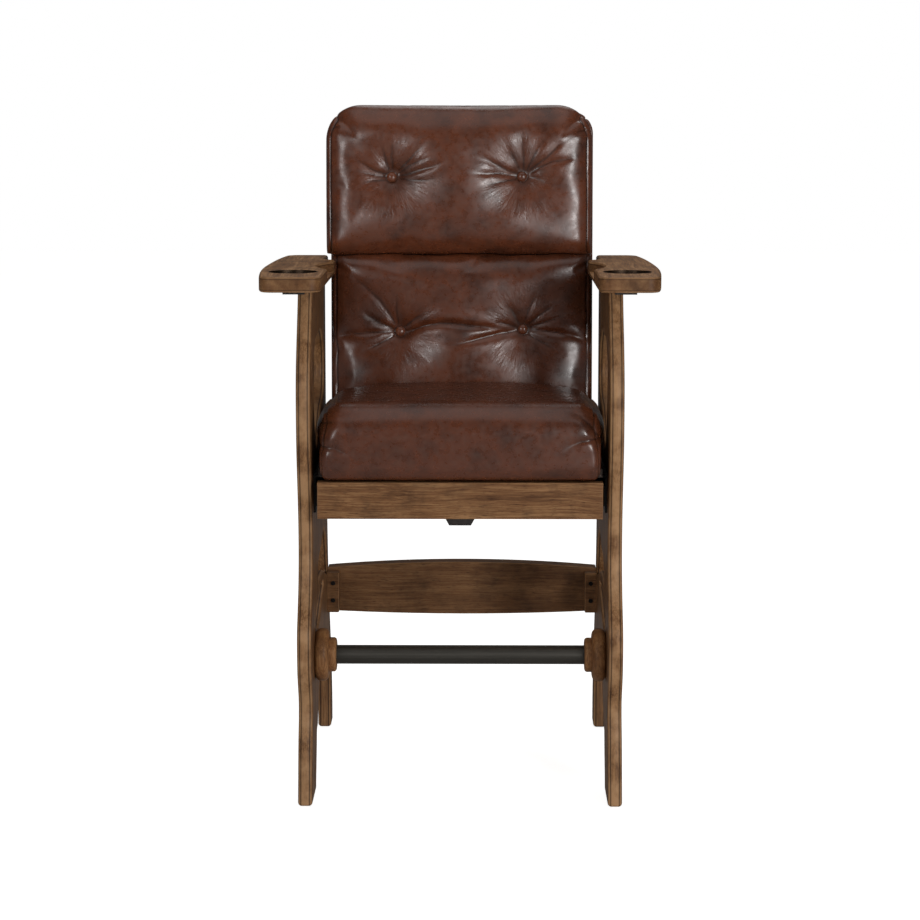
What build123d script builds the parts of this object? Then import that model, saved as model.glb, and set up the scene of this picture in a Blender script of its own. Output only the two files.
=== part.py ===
from build123d import *
import math
import os

os.makedirs("parts", exist_ok=True)

# Spectator bar stool, in millimetres
# The chair faces -Y and stands on Z = 0. Left and right are as seen from the front.

# Main sizes
panel_thickness = 25
panel_depth = 560
panel_height = 887.5
clear_width = 508
arm_overhang = 60
glide_height = 2
soft_gap = 0.3
cut_overrun = 10

# Places that follow from the main sizes
inner_half = clear_width / 2
outer_half = inner_half + panel_thickness
front_y = (arm_overhang - panel_depth) / 2
panel_top = glide_height + panel_height

# Side panel outline, as shares of its depth and height
front_edge_shares = [
    (0.000, 0.000), (0.014, 0.062), (0.037, 0.133), (0.059, 0.190), (0.017, 0.250), (0.006, 0.290),
    (0.012, 0.342), (0.038, 0.374), (0.082, 0.428), (0.102, 0.500), (0.084, 0.591), (0.048, 0.680),
    (0.037, 0.764), (0.044, 0.829), (0.074, 0.885), (0.118, 0.940), (0.159, 1.000),
]
rear_edge_shares = [
    (0.761, 0.720), (0.771, 0.630), (0.797, 0.490), (0.825, 0.390), (0.866, 0.300), (0.929, 0.207),
    (0.975, 0.130), (1.000, 0.055), (1.000, 0.000),
]
arch_shares = [
    (0.907, 0.000), (0.907, 0.106), (0.884, 0.141), (0.821, 0.180), (0.714, 0.214), (0.589, 0.224),
    (0.464, 0.217), (0.366, 0.193), (0.321, 0.161), (0.275, 0.114),
]
spur_shares = [(0.236, 0.109), (0.223, 0.076), (0.198, 0.033), (0.182, 0.000)]
arm_opening_shares = [
    (0.446, 0.894), (0.589, 0.885), (0.668, 0.846), (0.689, 0.793), (0.643, 0.757), (0.536, 0.742),
    (0.455, 0.718), (0.384, 0.688), (0.321, 0.675), (0.259, 0.699), (0.211, 0.765), (0.200, 0.828),
    (0.236, 0.872), (0.330, 0.891),
]
leaf_top_shares = [
    (0.330, 0.393), (0.327, 0.418), (0.354, 0.438), (0.434, 0.446), (0.489, 0.453), (0.545, 0.467),
    (0.595, 0.476), (0.660, 0.466), (0.716, 0.445), (0.770, 0.392), (0.807, 0.356),
]
leaf_bottom_shares = [(0.723, 0.366), (0.643, 0.381), (0.554, 0.394), (0.446, 0.399), (0.330, 0.393)]
crescent_top_shares = [(0.207, 0.333), (0.239, 0.351), (0.321, 0.364), (0.407, 0.371), (0.573, 0.368), (0.616, 0.362)]
crescent_bottom_shares = [
    (0.573, 0.355), (0.489, 0.339), (0.418, 0.325), (0.359, 0.314), (0.300, 0.310), (0.250, 0.318), (0.207, 0.333),
]
panel_edge_round = 6
panel_corner_round = 4

# Arms
arm_thickness = 26.5
arm_length = 535
arm_inner_x = 230
arm_step_x = 251
arm_reach = 91
arm_step_front = 406
arm_step_rear = 424
arm_outer_shares = [(0.00, 0.85), (0.15, 0.93), (0.38, 1.00), (0.60, 0.98), (0.85, 0.90), (1.00, 0.80)]
arm_front_round = 22
arm_rear_round = 26
arm_front_inner_round = 20
arm_inner_round = 10
arm_edge_round = 5
plate_thickness = 4
plate_width = 36
plate_inner_x = 258
plate_front = -42
plate_length = 356
notch_length = 172
notch_depth = 23
notch_centre = 208
notch_shelf = 9

# Cup recess and its insert
cup_bore_radius = 41
cup_depth = 19
cup_wall = 1.2
cup_x = 284
cup_centre = 57
cup_fit = 0.2

# Seat, deck and brackets
deck_bottom = 566
deck_thickness = 15
deck_front = 60
deck_rear = 414
deck_gap = 10
bracket_thickness = 4
bracket_front = 84
bracket_length = 300
bracket_drop = 66
bracket_flange = 28
seat_half = 242
seat_front = 2
seat_rear = 314
seat_lift = 0.5
seat_rise = 137.5
seat_side_round = 38
seat_draw_shares = (0.50, 0.30, 0.15)
seat_roll_shares = [(0.25, 0.00), (0.05, 0.12), (0.00, 0.38), (0.11, 0.80), (0.48, 1.00)]
seat_crest_shares = (0.20, 0.98)
seat_fall_shares = [(0.20, 0.89), (0.05, 0.80), (0.00, 0.62)]

# Drawer
drawer_top_gap = 3
drawer_front_height = 63
drawer_front_half = 243.5
drawer_front_face = 22
drawer_front_thickness = 20
drawer_side_thickness = 12
drawer_side_rise = 6
drawer_side_height = 46
drawer_side_length = 310
drawer_bottom_thickness = 5
drawer_groove_depth = 5
drawer_groove_rise = 5
drawer_groove_fit = 0.2
drawer_edge_round = 1.5
drawer_travel = 190
pull_top_width = 49.5
pull_bottom_width = 37
pull_drop = 11.4
pull_depth = 18

# Drawer runners
runner_width = 12
runner_height = 35
runner_length = 262
runner_front = 88
runner_sheet = 1.2
fixed_lip = 8
moving_lip = 8
ball_diameter = 3.6
ball_clearance = 0.2
cage_sheet = 0.8
cage_length = 60
cage_front = 186
balls_in_row = 3

# Back
recline = 2.5
back_depth = 382
board_thickness = 12
board_half = 237
board_height = 602
board_corner = 38
stile_width = 35
stile_depth = 22
rail_height = 70
cover_thickness = 3.7
cover_half = 241
cushion_bottom = 32
lower_cushion_height = 312
upper_cushion_height = 276
crease_gap = 0.6
lower_cushion_half = 242
upper_cushion_half = 246
cushion_side_depth = 44
cushion_crown = 22
cushion_corner = 36
cushion_draw = 24
lower_button_x = 111
lower_button_up = 212
upper_button_x = 118
upper_button_up = 490
tuft_radius = 56
tuft_depth = 20
button_radius = 8.5
button_height = 6

# Bolts and screws
bolt_radius = 4
bolt_fit = 0.25
bolt_head_radius = 7
bolt_head_height = 4
bolt_grip = 15
seat_bolt_shares = (0.12, 0.88)
back_bolt_shares = (0.035, 0.085)
screw_radius = 2
screw_head_radius = 4
screw_head_height = 2.4
screw_fit = 0.1
screw_length = 15
plate_screw_shares = (0.42, 0.68, 0.94)
deck_screw_shares = (0.15, 0.50, 0.85)

# Stretcher and cleats
stretcher_thickness = 34
stretcher_front = 448
stretcher_middle = 287
stretcher_end_height = 83
stretcher_top_rise = 11
stretcher_bottom_drop = 6.5
stretcher_gap = 0.4
stretcher_round = 3
cleat_width = 22
cleat_depth = 23
cleat_height = 76
cleat_bottom = 247
cleat_round = 2
cleat_low_screw = 23
cleat_high_screw = 56

# Footrest bar and hubs
bar_radius = 16.5
bar_wall = 2
hub_centre_depth = 110
hub_centre_height = 243
hub_large_radius = 46
hub_large_thickness = 24
hub_small_radius = 30
hub_small_thickness = 13
hub_tenon_radius = 20
hub_tenon_length = 12
hub_bar_seat = 20
hub_fit = 0.2
hub_large_round = 10
hub_small_round = 5
glide_radius = 11
glide_recess = 3
front_glide_depth = 50
rear_glide_depth = 534


def at_panel(share):
    """A point of the side view from its shares of the panel's depth and height."""
    return (front_y + share[0] * panel_depth, glide_height + share[1] * panel_height)


def back_point(x, rear, up):
    """A point of the back from its distances beside, behind and up the reclined board."""
    return back_base + Vector(x, 0, 0) + back_rear * rear + back_up * up


def back_plane(up):
    """A plane square to the reclined back, at a height along it."""
    return Plane(origin=back_point(0, 0, up), x_dir=(1, 0, 0), z_dir=back_up)


def add_screws(seats, shank):
    """Pan head screws, each with its head on a seat plane and its shank along the plane's normal."""
    with Locations(*[Location(seat) for seat in seats]):
        Cylinder(screw_head_radius, screw_head_height, align=(Align.CENTER, Align.CENTER, Align.MAX))
        Cylinder(screw_radius, shank, align=(Align.CENTER, Align.CENTER, Align.MIN))


def cut_screws(seats, shank):
    """The holes that such screws need."""
    with Locations(*[Location(seat) for seat in seats]):
        Cylinder(
            screw_radius + screw_fit, shank + screw_fit,
            align=(Align.CENTER, Align.CENTER, Align.MIN), mode=Mode.SUBTRACT,
        )


# Heights that follow from the deck
deck_top = deck_bottom + deck_thickness
seat_bottom = deck_bottom + seat_lift
seat_top = seat_bottom + seat_rise
drawer_front_bottom = deck_bottom - drawer_top_gap - drawer_front_height
drawer_side_bottom = drawer_front_bottom + drawer_side_rise
runner_centre = drawer_side_bottom + drawer_side_height / 2

# Directions of the reclined back
back_up = Vector(0, math.sin(math.radians(recline)), math.cos(math.radians(recline)))
back_rear = Vector(0, math.cos(math.radians(recline)), -math.sin(math.radians(recline)))
back_depth_total = board_thickness + stile_depth + soft_gap + cover_thickness
back_lift = back_depth_total * math.sin(math.radians(recline))
back_base = Vector(0, front_y + back_depth, deck_top + soft_gap + back_lift)

# Bolt places, from the pieces that the bolts hold
seat_bolt_height = deck_bottom - bracket_drop / 2
seat_bolt_places = [
    (front_y + bracket_front + bracket_length * share, seat_bolt_height) for share in seat_bolt_shares
]
stile_middle = board_thickness + stile_depth / 2
back_bolt_ups = [board_height * share for share in back_bolt_shares]
back_bolt_places = [(back_point(0, stile_middle, up).Y, back_point(0, stile_middle, up).Z) for up in back_bolt_ups]
hub_place = (front_y + hub_centre_depth, hub_centre_height)

# Screw places under the arms
arm_bottom = panel_top + plate_thickness
plate_outer_x = plate_inner_x + plate_width
overhang_middle = (outer_half + plate_outer_x) / 2
panel_strip_middle = (plate_inner_x + outer_half) / 2
plate_screw_ys = [front_y + plate_front + share * plate_length for share in plate_screw_shares]
arm_seats_right = [Plane(origin=(overhang_middle, y, panel_top), z_dir=(0, 0, 1)) for y in plate_screw_ys]
arm_seats_left = [Plane(origin=(-overhang_middle, y, panel_top), z_dir=(0, 0, 1)) for y in plate_screw_ys]
glide_places = [(front_y + front_glide_depth, 0), (front_y + rear_glide_depth, 0)]

# Side panels
with BuildPart() as side_panel_right:
    with BuildSketch(Plane.YZ.offset(inner_half)):
        with BuildLine():
            front_edge = Spline([at_panel(share) for share in front_edge_shares])
            top_rear = (front_y + rear_edge_shares[0][0] * panel_depth, panel_top)
            Line(front_edge @ 1, top_rear)
            Line(top_rear, at_panel(rear_edge_shares[0]))
            rear_edge = Spline([at_panel(share) for share in rear_edge_shares], tangents=((0, -1), (0, -1)))
            Line(rear_edge @ 1, at_panel(arch_shares[0]))
            Line(at_panel(arch_shares[0]), at_panel(arch_shares[1]))
            arch = Spline([at_panel(share) for share in arch_shares[1:]])
            Line(arch @ 1, at_panel(spur_shares[0]))
            spur = Spline([at_panel(share) for share in spur_shares])
            Line(spur @ 1, front_edge @ 0)
        make_face()
        with BuildLine():
            Spline([at_panel(share) for share in arm_opening_shares], periodic=True)
        make_face(mode=Mode.SUBTRACT)
        with BuildLine():
            leaf_top = Spline([at_panel(share) for share in leaf_top_shares])
            Spline([at_panel(leaf_top_shares[-1])] + [at_panel(share) for share in leaf_bottom_shares])
        make_face(mode=Mode.SUBTRACT)
        with BuildLine():
            crescent_top = Spline([at_panel(share) for share in crescent_top_shares])
            Spline([at_panel(crescent_top_shares[-1])] + [at_panel(share) for share in crescent_bottom_shares])
        make_face(mode=Mode.SUBTRACT)
    extrude(amount=panel_thickness)
    below_top = panel_top - panel_edge_round
    low_corners = side_panel_right.edges().filter_by(Axis.X).filter_by_position(Axis.Z, 0, below_top)
    fillet(low_corners, radius=panel_corner_round)
    side_faces = side_panel_right.faces().filter_by(Axis.X)
    rims = side_faces.edges().filter_by_position(Axis.Z, 0, below_top)
    fillet(rims, radius=panel_edge_round)
    with BuildSketch(Plane.YZ.offset(inner_half)):
        with Locations(hub_place):
            Circle(hub_tenon_radius + hub_fit)
    extrude(amount=hub_tenon_length, mode=Mode.SUBTRACT)
    with BuildSketch(Plane.YZ.offset(inner_half)):
        with Locations(*seat_bolt_places, *back_bolt_places):
            Circle(bolt_radius + bolt_fit)
    extrude(amount=panel_thickness, mode=Mode.SUBTRACT)
    with Locations(*[(panel_strip_middle, y, panel_top) for y in plate_screw_ys]):
        Hole(screw_radius + screw_fit, screw_length)
    with Locations(*[(inner_half + panel_thickness / 2, y, glide_height) for y, z in glide_places]):
        Cylinder(glide_radius + hub_fit, glide_recess, align=(Align.CENTER, Align.CENTER, Align.MIN), mode=Mode.SUBTRACT)
side_panel_right.part.label = "side_panel_right"
export_step(side_panel_right.part, "parts/side_panel_right.step")

with BuildPart() as side_panel_left:
    mirror(side_panel_right.part, about=Plane.YZ)
side_panel_left.part.label = "side_panel_left"
export_step(side_panel_left.part, "parts/side_panel_left.step")

with BuildPart() as foot_glides:
    for side in (-1, 1):
        with Locations(*[(side * (inner_half + panel_thickness / 2), y, 0) for y, z in glide_places]):
            Cylinder(glide_radius, glide_height + glide_recess, align=(Align.CENTER, Align.CENTER, Align.MIN))
foot_glides.part.label = "foot_glides"
export_step(foot_glides.part, "parts/foot_glides.step")

# Arms
arm_front_y = front_y - arm_overhang
cup_place = (cup_x, front_y + cup_centre)
notch_radius = (notch_length ** 2 / 4 + notch_depth ** 2) / (2 * notch_depth)
notch_y = front_y + notch_centre

with BuildPart() as arm_right:
    with BuildSketch(Plane.XY.offset(arm_bottom)):
        with BuildLine():
            outer_points = [
                (inner_half + reach * arm_reach, arm_front_y + along * arm_length)
                for along, reach in arm_outer_shares
            ]
            outer_edge = Spline(outer_points)
            Polyline(
                outer_edge @ 1,
                (arm_step_x, arm_front_y + arm_length),
                (arm_step_x, arm_front_y + arm_step_rear),
                (arm_inner_x, arm_front_y + arm_step_front),
                (arm_inner_x, arm_front_y),
                outer_edge @ 0,
            )
        make_face()
    extrude(amount=arm_thickness)
    uprights = arm_right.edges().filter_by(Axis.Z)
    fillet(uprights.sort_by_distance((arm_inner_x, arm_front_y, arm_bottom))[0], radius=arm_front_inner_round)
    with BuildSketch(Plane.XY.offset(arm_bottom + notch_shelf)):
        with Locations((arm_inner_x + notch_depth - notch_radius, notch_y)):
            Circle(notch_radius)
    extrude(amount=arm_thickness, mode=Mode.SUBTRACT)
    uprights = arm_right.edges().filter_by(Axis.Z)
    fillet(uprights.sort_by_distance((outer_half + arm_reach, arm_front_y, arm_bottom))[0], radius=arm_front_round)
    uprights = arm_right.edges().filter_by(Axis.Z)
    fillet(uprights.sort_by_distance((outer_half + arm_reach, -arm_front_y, arm_bottom))[0], radius=arm_rear_round)
    uprights = arm_right.edges().filter_by(Axis.Z).filter_by(GeomType.LINE)
    inner_uprights = uprights.filter_by_position(Axis.X, 0, arm_step_x + arm_edge_round)
    fillet(inner_uprights.filter_by_position(Axis.Y, arm_front_y + arm_reach, -arm_front_y), radius=arm_inner_round)
    level_faces = arm_right.faces().filter_by(Axis.Z).sort_by(Axis.Z)
    fillet(level_faces[0].edges() + level_faces[-1].edges(), radius=arm_edge_round)
    with Locations((*cup_place, arm_bottom + arm_thickness)):
        Hole(cup_bore_radius + cup_wall + cup_fit, cup_depth + cup_wall + cup_fit)
    cut_screws(arm_seats_right, plate_thickness + screw_length)
arm_right.part.label = "arm_right"
export_step(arm_right.part, "parts/arm_right.step")

with BuildPart() as arm_left:
    mirror(arm_right.part, about=Plane.YZ)
arm_left.part.label = "arm_left"
export_step(arm_left.part, "parts/arm_left.step")

# Cup inserts
with BuildPart() as cup_insert_right:
    with Locations((*cup_place, arm_bottom + arm_thickness - cup_depth - cup_wall)):
        Cylinder(cup_bore_radius + cup_wall, cup_depth + cup_wall, align=(Align.CENTER, Align.CENTER, Align.MIN))
    with Locations((*cup_place, arm_bottom + arm_thickness)):
        Hole(cup_bore_radius, cup_depth)
cup_insert_right.part.label = "cup_insert_right"
export_step(cup_insert_right.part, "parts/cup_insert_right.step")

with BuildPart() as cup_insert_left:
    mirror(cup_insert_right.part, about=Plane.YZ)
cup_insert_left.part.label = "cup_insert_left"
export_step(cup_insert_left.part, "parts/cup_insert_left.step")

# Arm plates and their screws
with BuildPart() as arm_plate_right:
    with Locations((plate_inner_x, front_y + plate_front, panel_top)):
        Box(plate_width, plate_length, plate_thickness, align=(Align.MIN, Align.MIN, Align.MIN))
    cut_screws(arm_seats_right, plate_thickness)
    with Locations(*[(panel_strip_middle, y, arm_bottom) for y in plate_screw_ys]):
        CounterSinkHole(screw_radius + screw_fit, screw_head_radius + screw_fit, plate_thickness)
arm_plate_right.part.label = "arm_plate_right"
export_step(arm_plate_right.part, "parts/arm_plate_right.step")

with BuildPart() as arm_plate_left:
    mirror(arm_plate_right.part, about=Plane.YZ)
arm_plate_left.part.label = "arm_plate_left"
export_step(arm_plate_left.part, "parts/arm_plate_left.step")

with BuildPart() as arm_screws:
    add_screws(arm_seats_right + arm_seats_left, plate_thickness + screw_length)
arm_screws.part.label = "arm_screws"
export_step(arm_screws.part, "parts/arm_screws.step")

with BuildPart() as plate_screws:
    for side in (-1, 1):
        with Locations(*[(side * panel_strip_middle, y, arm_bottom) for y in plate_screw_ys]):
            Cone(
                0, screw_head_radius, screw_head_radius,
                align=(Align.CENTER, Align.CENTER, Align.MAX),
            )
            Cylinder(screw_radius, screw_length, align=(Align.CENTER, Align.CENTER, Align.MAX))
plate_screws.part.label = "plate_screws"
export_step(plate_screws.part, "parts/plate_screws.step")

# Stretcher and its cleats
stretcher_half = inner_half - stretcher_gap
stretcher_rear_y = front_y + stretcher_front + stretcher_thickness
cleat_face_y = front_y + stretcher_front - cleat_depth
cleat_middle_x = inner_half - cleat_width / 2
cleat_seats = [
    Plane(origin=(side * cleat_middle_x, cleat_face_y, cleat_bottom + rise), z_dir=(0, 1, 0))
    for side in (-1, 1)
    for rise in (cleat_low_screw, cleat_high_screw)
]
end_top = stretcher_middle + stretcher_end_height / 2
end_bottom = stretcher_middle - stretcher_end_height / 2

with BuildPart() as stretcher:
    with BuildSketch(Plane.XZ.offset(-stretcher_rear_y)):
        with BuildLine():
            ThreePointArc((-stretcher_half, end_top), (0, end_top + stretcher_top_rise), (stretcher_half, end_top))
            Line((stretcher_half, end_top), (stretcher_half, end_bottom))
            ThreePointArc(
                (stretcher_half, end_bottom), (0, end_bottom - stretcher_bottom_drop), (-stretcher_half, end_bottom)
            )
            Line((-stretcher_half, end_bottom), (-stretcher_half, end_top))
        make_face()
    extrude(amount=stretcher_thickness)
    fillet(stretcher.edges().filter_by(GeomType.CIRCLE), radius=stretcher_round)
    cut_screws(cleat_seats, cleat_depth + screw_length)
stretcher.part.label = "stretcher"
export_step(stretcher.part, "parts/stretcher.step")

with BuildPart() as cleat_right:
    with Locations((inner_half, cleat_face_y, cleat_bottom)):
        Box(cleat_width, cleat_depth, cleat_height, align=(Align.MAX, Align.MIN, Align.MIN))
    free_edges = cleat_right.faces().sort_by(Axis.X)[0].edges()
    fillet(free_edges, radius=cleat_round)
    cut_screws(cleat_seats[2:], cleat_depth)
cleat_right.part.label = "cleat_right"
export_step(cleat_right.part, "parts/cleat_right.step")

with BuildPart() as cleat_left:
    mirror(cleat_right.part, about=Plane.YZ)
cleat_left.part.label = "cleat_left"
export_step(cleat_left.part, "parts/cleat_left.step")

with BuildPart() as cleat_screws:
    add_screws(cleat_seats, cleat_depth + screw_length)
cleat_screws.part.label = "cleat_screws"
export_step(cleat_screws.part, "parts/cleat_screws.step")

# Footrest bar and its turned hubs
hub_origin = (0, *hub_place)
hub_plane = Plane(origin=hub_origin, x_dir=(1, 0, 0), z_dir=(0, -1, 0))
hub_step_x = inner_half - hub_large_thickness
hub_nose_x = hub_step_x - hub_small_thickness
bar_half = hub_nose_x + hub_bar_seat

with BuildPart() as hub_right:
    with BuildSketch(hub_plane):
        with BuildLine():
            Polyline(
                (inner_half + hub_tenon_length - hub_fit, 0),
                (inner_half + hub_tenon_length - hub_fit, hub_tenon_radius),
                (inner_half, hub_tenon_radius),
                (inner_half, hub_large_radius),
                (hub_step_x, hub_large_radius),
                (hub_step_x, hub_small_radius),
                (hub_nose_x, hub_small_radius),
                (hub_nose_x, bar_radius + hub_fit),
                (bar_half + hub_fit, bar_radius + hub_fit),
                (bar_half + hub_fit, 0),
                close=True,
            )
        make_face()
    revolve(axis=Axis(hub_origin, (1, 0, 0)))
    rims = hub_right.edges().filter_by(GeomType.CIRCLE)
    large_rims = rims.filter_by(lambda edge: edge.radius > hub_large_radius - hub_fit)
    fillet(large_rims, radius=hub_large_round)
    small_rim = hub_right.edges().filter_by(GeomType.CIRCLE).filter_by(
        lambda edge: abs(edge.radius - hub_small_radius) < hub_fit and edge.center().X < hub_step_x - hub_fit
    )
    fillet(small_rim, radius=hub_small_round)
hub_right.part.label = "hub_right"
export_step(hub_right.part, "parts/hub_right.step")

with BuildPart() as hub_left:
    mirror(hub_right.part, about=Plane.YZ)
hub_left.part.label = "hub_left"
export_step(hub_left.part, "parts/hub_left.step")

with BuildPart() as footrest_bar:
    with BuildSketch(Plane.YZ.offset(-bar_half)):
        with Locations(hub_place):
            Circle(bar_radius)
            Circle(bar_radius - bar_wall, mode=Mode.SUBTRACT)
    extrude(amount=2 * bar_half)
footrest_bar.part.label = "footrest_bar"
export_step(footrest_bar.part, "parts/footrest_bar.step")

# Seat deck, its brackets and their bolts
bracket_y = front_y + bracket_front
bracket_inner_x = inner_half - bracket_thickness
flange_bottom = deck_bottom - bracket_thickness
deck_screw_x = inner_half - bracket_thickness - (bracket_flange - bracket_thickness) / 2
deck_seats = [
    Plane(origin=(side * deck_screw_x, bracket_y + share * bracket_length, flange_bottom), z_dir=(0, 0, 1))
    for side in (-1, 1)
    for share in deck_screw_shares
]

with BuildPart() as seat_deck:
    with Locations((0, front_y + deck_front, deck_bottom)):
        Box(
            2 * (inner_half - deck_gap), deck_rear - deck_front, deck_thickness,
            align=(Align.CENTER, Align.MIN, Align.MIN),
        )
    cut_screws(deck_seats, screw_length)
seat_deck.part.label = "seat_deck"
export_step(seat_deck.part, "parts/seat_deck.step")

with BuildPart() as seat_bracket_right:
    with BuildSketch(Plane.XZ.offset(-bracket_y - bracket_length)):
        with BuildLine():
            Polyline(
                (inner_half, deck_bottom),
                (inner_half, deck_bottom - bracket_drop),
                (bracket_inner_x, deck_bottom - bracket_drop),
                (bracket_inner_x, flange_bottom),
                (inner_half - bracket_flange, flange_bottom),
                (inner_half - bracket_flange, deck_bottom),
                close=True,
            )
        make_face()
    extrude(amount=bracket_length)
    with BuildSketch(Plane.YZ.offset(bracket_inner_x)):
        with Locations(*seat_bolt_places):
            Circle(bolt_radius + bolt_fit)
    extrude(amount=bracket_thickness, mode=Mode.SUBTRACT)
    cut_screws(deck_seats[3:], bracket_thickness)
seat_bracket_right.part.label = "seat_bracket_right"
export_step(seat_bracket_right.part, "parts/seat_bracket_right.step")

with BuildPart() as seat_bracket_left:
    mirror(seat_bracket_right.part, about=Plane.YZ)
seat_bracket_left.part.label = "seat_bracket_left"
export_step(seat_bracket_left.part, "parts/seat_bracket_left.step")

with BuildPart() as deck_screws:
    add_screws(deck_seats, screw_length)
deck_screws.part.label = "deck_screws"
export_step(deck_screws.part, "parts/deck_screws.step")


def add_bolts(places, reach):
    """Dome head bolts through both panels, from the outer faces to a reach from the chair's middle."""
    for side in (-1, 1):
        seats = [Plane(origin=(side * outer_half, y, z), z_dir=(side, 0, 0)) for y, z in places]
        with Locations(*[Location(seat) for seat in seats]):
            Cylinder(bolt_radius, outer_half - reach, align=(Align.CENTER, Align.CENTER, Align.MAX))
            Cone(
                bolt_head_radius, bolt_radius, bolt_head_height,
                align=(Align.CENTER, Align.CENTER, Align.MIN),
            )


with BuildPart() as seat_bolts:
    add_bolts(seat_bolt_places, bracket_inner_x)
seat_bolts.part.label = "seat_bolts"
export_step(seat_bolts.part, "parts/seat_bolts.step")

with BuildPart() as back_bolts:
    add_bolts(back_bolt_places, board_half - bolt_grip)
back_bolts.part.label = "back_bolts"
export_step(back_bolts.part, "parts/back_bolts.step")

with BuildPart() as back_spacers:
    for side in (-1, 1):
        spacer_plane = Plane.YZ.offset(side * (cover_half + inner_half) / 2)
        with BuildSketch(spacer_plane):
            with Locations(*back_bolt_places):
                Circle(bolt_head_radius)
                Circle(bolt_radius + bolt_fit, mode=Mode.SUBTRACT)
        extrude(amount=(inner_half - cover_half) / 2, both=True)
back_spacers.part.label = "back_spacers"
export_step(back_spacers.part, "parts/back_spacers.step")

# Drawer
drawer_y = front_y + drawer_front_face
drawer_box_y = drawer_y + drawer_front_thickness
drawer_box_half = bracket_inner_x - runner_width
drawer_inner_half = drawer_box_half - drawer_side_thickness
groove_bottom = drawer_side_bottom + drawer_groove_rise
groove_height = drawer_bottom_thickness + 2 * drawer_groove_fit
drawer_bottom_half = drawer_inner_half + drawer_groove_depth - drawer_groove_fit

with BuildPart() as drawer_front:
    with Locations((0, drawer_y, drawer_front_bottom)):
        Box(
            2 * drawer_front_half, drawer_front_thickness, drawer_front_height,
            align=(Align.CENTER, Align.MIN, Align.MIN),
        )
    face_edges = drawer_front.faces().sort_by(Axis.Y)[0].edges()
    fillet(face_edges, radius=drawer_edge_round)
    with Locations((0, drawer_box_y, groove_bottom)):
        Box(
            2 * drawer_inner_half + 2 * drawer_groove_depth, drawer_groove_depth, groove_height,
            align=(Align.CENTER, Align.MAX, Align.MIN), mode=Mode.SUBTRACT,
        )
drawer_front.part.label = "drawer_front"
export_step(drawer_front.part, "parts/drawer_front.step")

with BuildPart() as drawer_side_right:
    with Locations((drawer_inner_half, drawer_box_y, drawer_side_bottom)):
        Box(
            drawer_side_thickness, drawer_side_length, drawer_side_height,
            align=(Align.MIN, Align.MIN, Align.MIN),
        )
    with Locations((drawer_inner_half, drawer_box_y, groove_bottom)):
        Box(
            drawer_groove_depth, drawer_side_length, groove_height,
            align=(Align.MIN, Align.MIN, Align.MIN), mode=Mode.SUBTRACT,
        )
drawer_side_right.part.label = "drawer_side_right"
export_step(drawer_side_right.part, "parts/drawer_side_right.step")

with BuildPart() as drawer_side_left:
    mirror(drawer_side_right.part, about=Plane.YZ)
drawer_side_left.part.label = "drawer_side_left"
export_step(drawer_side_left.part, "parts/drawer_side_left.step")

with BuildPart() as drawer_bottom:
    front_edge_y = drawer_box_y - drawer_groove_depth + drawer_groove_fit
    with Locations((0, front_edge_y, groove_bottom + drawer_groove_fit)):
        Box(
            2 * drawer_bottom_half, drawer_box_y + drawer_side_length - front_edge_y, drawer_bottom_thickness,
            align=(Align.CENTER, Align.MIN, Align.MIN),
        )
drawer_bottom.part.label = "drawer_bottom"
export_step(drawer_bottom.part, "parts/drawer_bottom.step")

with BuildPart() as drawer_back:
    back_rest = groove_bottom + drawer_groove_fit + drawer_bottom_thickness
    with Locations((0, drawer_box_y + drawer_side_length, back_rest)):
        Box(
            2 * drawer_inner_half, drawer_side_thickness, drawer_side_bottom + drawer_side_height - back_rest,
            align=(Align.CENTER, Align.MAX, Align.MIN),
        )
drawer_back.part.label = "drawer_back"
export_step(drawer_back.part, "parts/drawer_back.step")

with BuildPart() as drawer_pull:
    with BuildSketch(Plane.XZ.offset(-drawer_box_y)):
        with BuildLine():
            Polyline(
                (-pull_top_width / 2, drawer_front_bottom),
                (pull_top_width / 2, drawer_front_bottom),
                (pull_bottom_width / 2, drawer_front_bottom - pull_drop),
                (-pull_bottom_width / 2, drawer_front_bottom - pull_drop),
                close=True,
            )
        make_face()
    extrude(amount=pull_depth)
    fillet(drawer_pull.faces().sort_by(Axis.Z)[0].edges(), radius=drawer_edge_round)
drawer_pull.part.label = "drawer_pull"
export_step(drawer_pull.part, "parts/drawer_pull.step")

# Drawer runners: a fixed channel, a moving channel inside it, and balls in a cage between them
runner_y = front_y + runner_front
race_outer = runner_height / 2 - runner_sheet
race_inner = race_outer - ball_diameter - 2 * ball_clearance
race_middle = (race_outer + race_inner) / 2
ball_x = (bracket_inner_x - fixed_lip + drawer_box_half + moving_lip) / 2
cage_web_x = (bracket_inner_x - runner_sheet + drawer_box_half + moving_lip) / 2 + cage_sheet / 2


def channel(root_x, lip_x, half_height, sheet, along):
    """The section of a sheet channel: its web at root_x, its two lips running to lip_x."""
    web_x = root_x + math.copysign(sheet, lip_x - root_x)
    with BuildSketch(Plane.XZ.offset(-along)) as section:
        with BuildLine():
            Polyline(
                (root_x, runner_centre - half_height),
                (lip_x, runner_centre - half_height),
                (lip_x, runner_centre - half_height + sheet),
                (web_x, runner_centre - half_height + sheet),
                (web_x, runner_centre + half_height - sheet),
                (lip_x, runner_centre + half_height - sheet),
                (lip_x, runner_centre + half_height),
                (root_x, runner_centre + half_height),
                close=True,
            )
        make_face()
    return section.sketch


with BuildPart() as runner_fixed_right:
    fixed_section = channel(
        bracket_inner_x, bracket_inner_x - fixed_lip, runner_height / 2, runner_sheet, runner_y + runner_length
    )
    extrude(fixed_section, amount=runner_length)
runner_fixed_right.part.label = "runner_fixed_right"
export_step(runner_fixed_right.part, "parts/runner_fixed_right.step")

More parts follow.
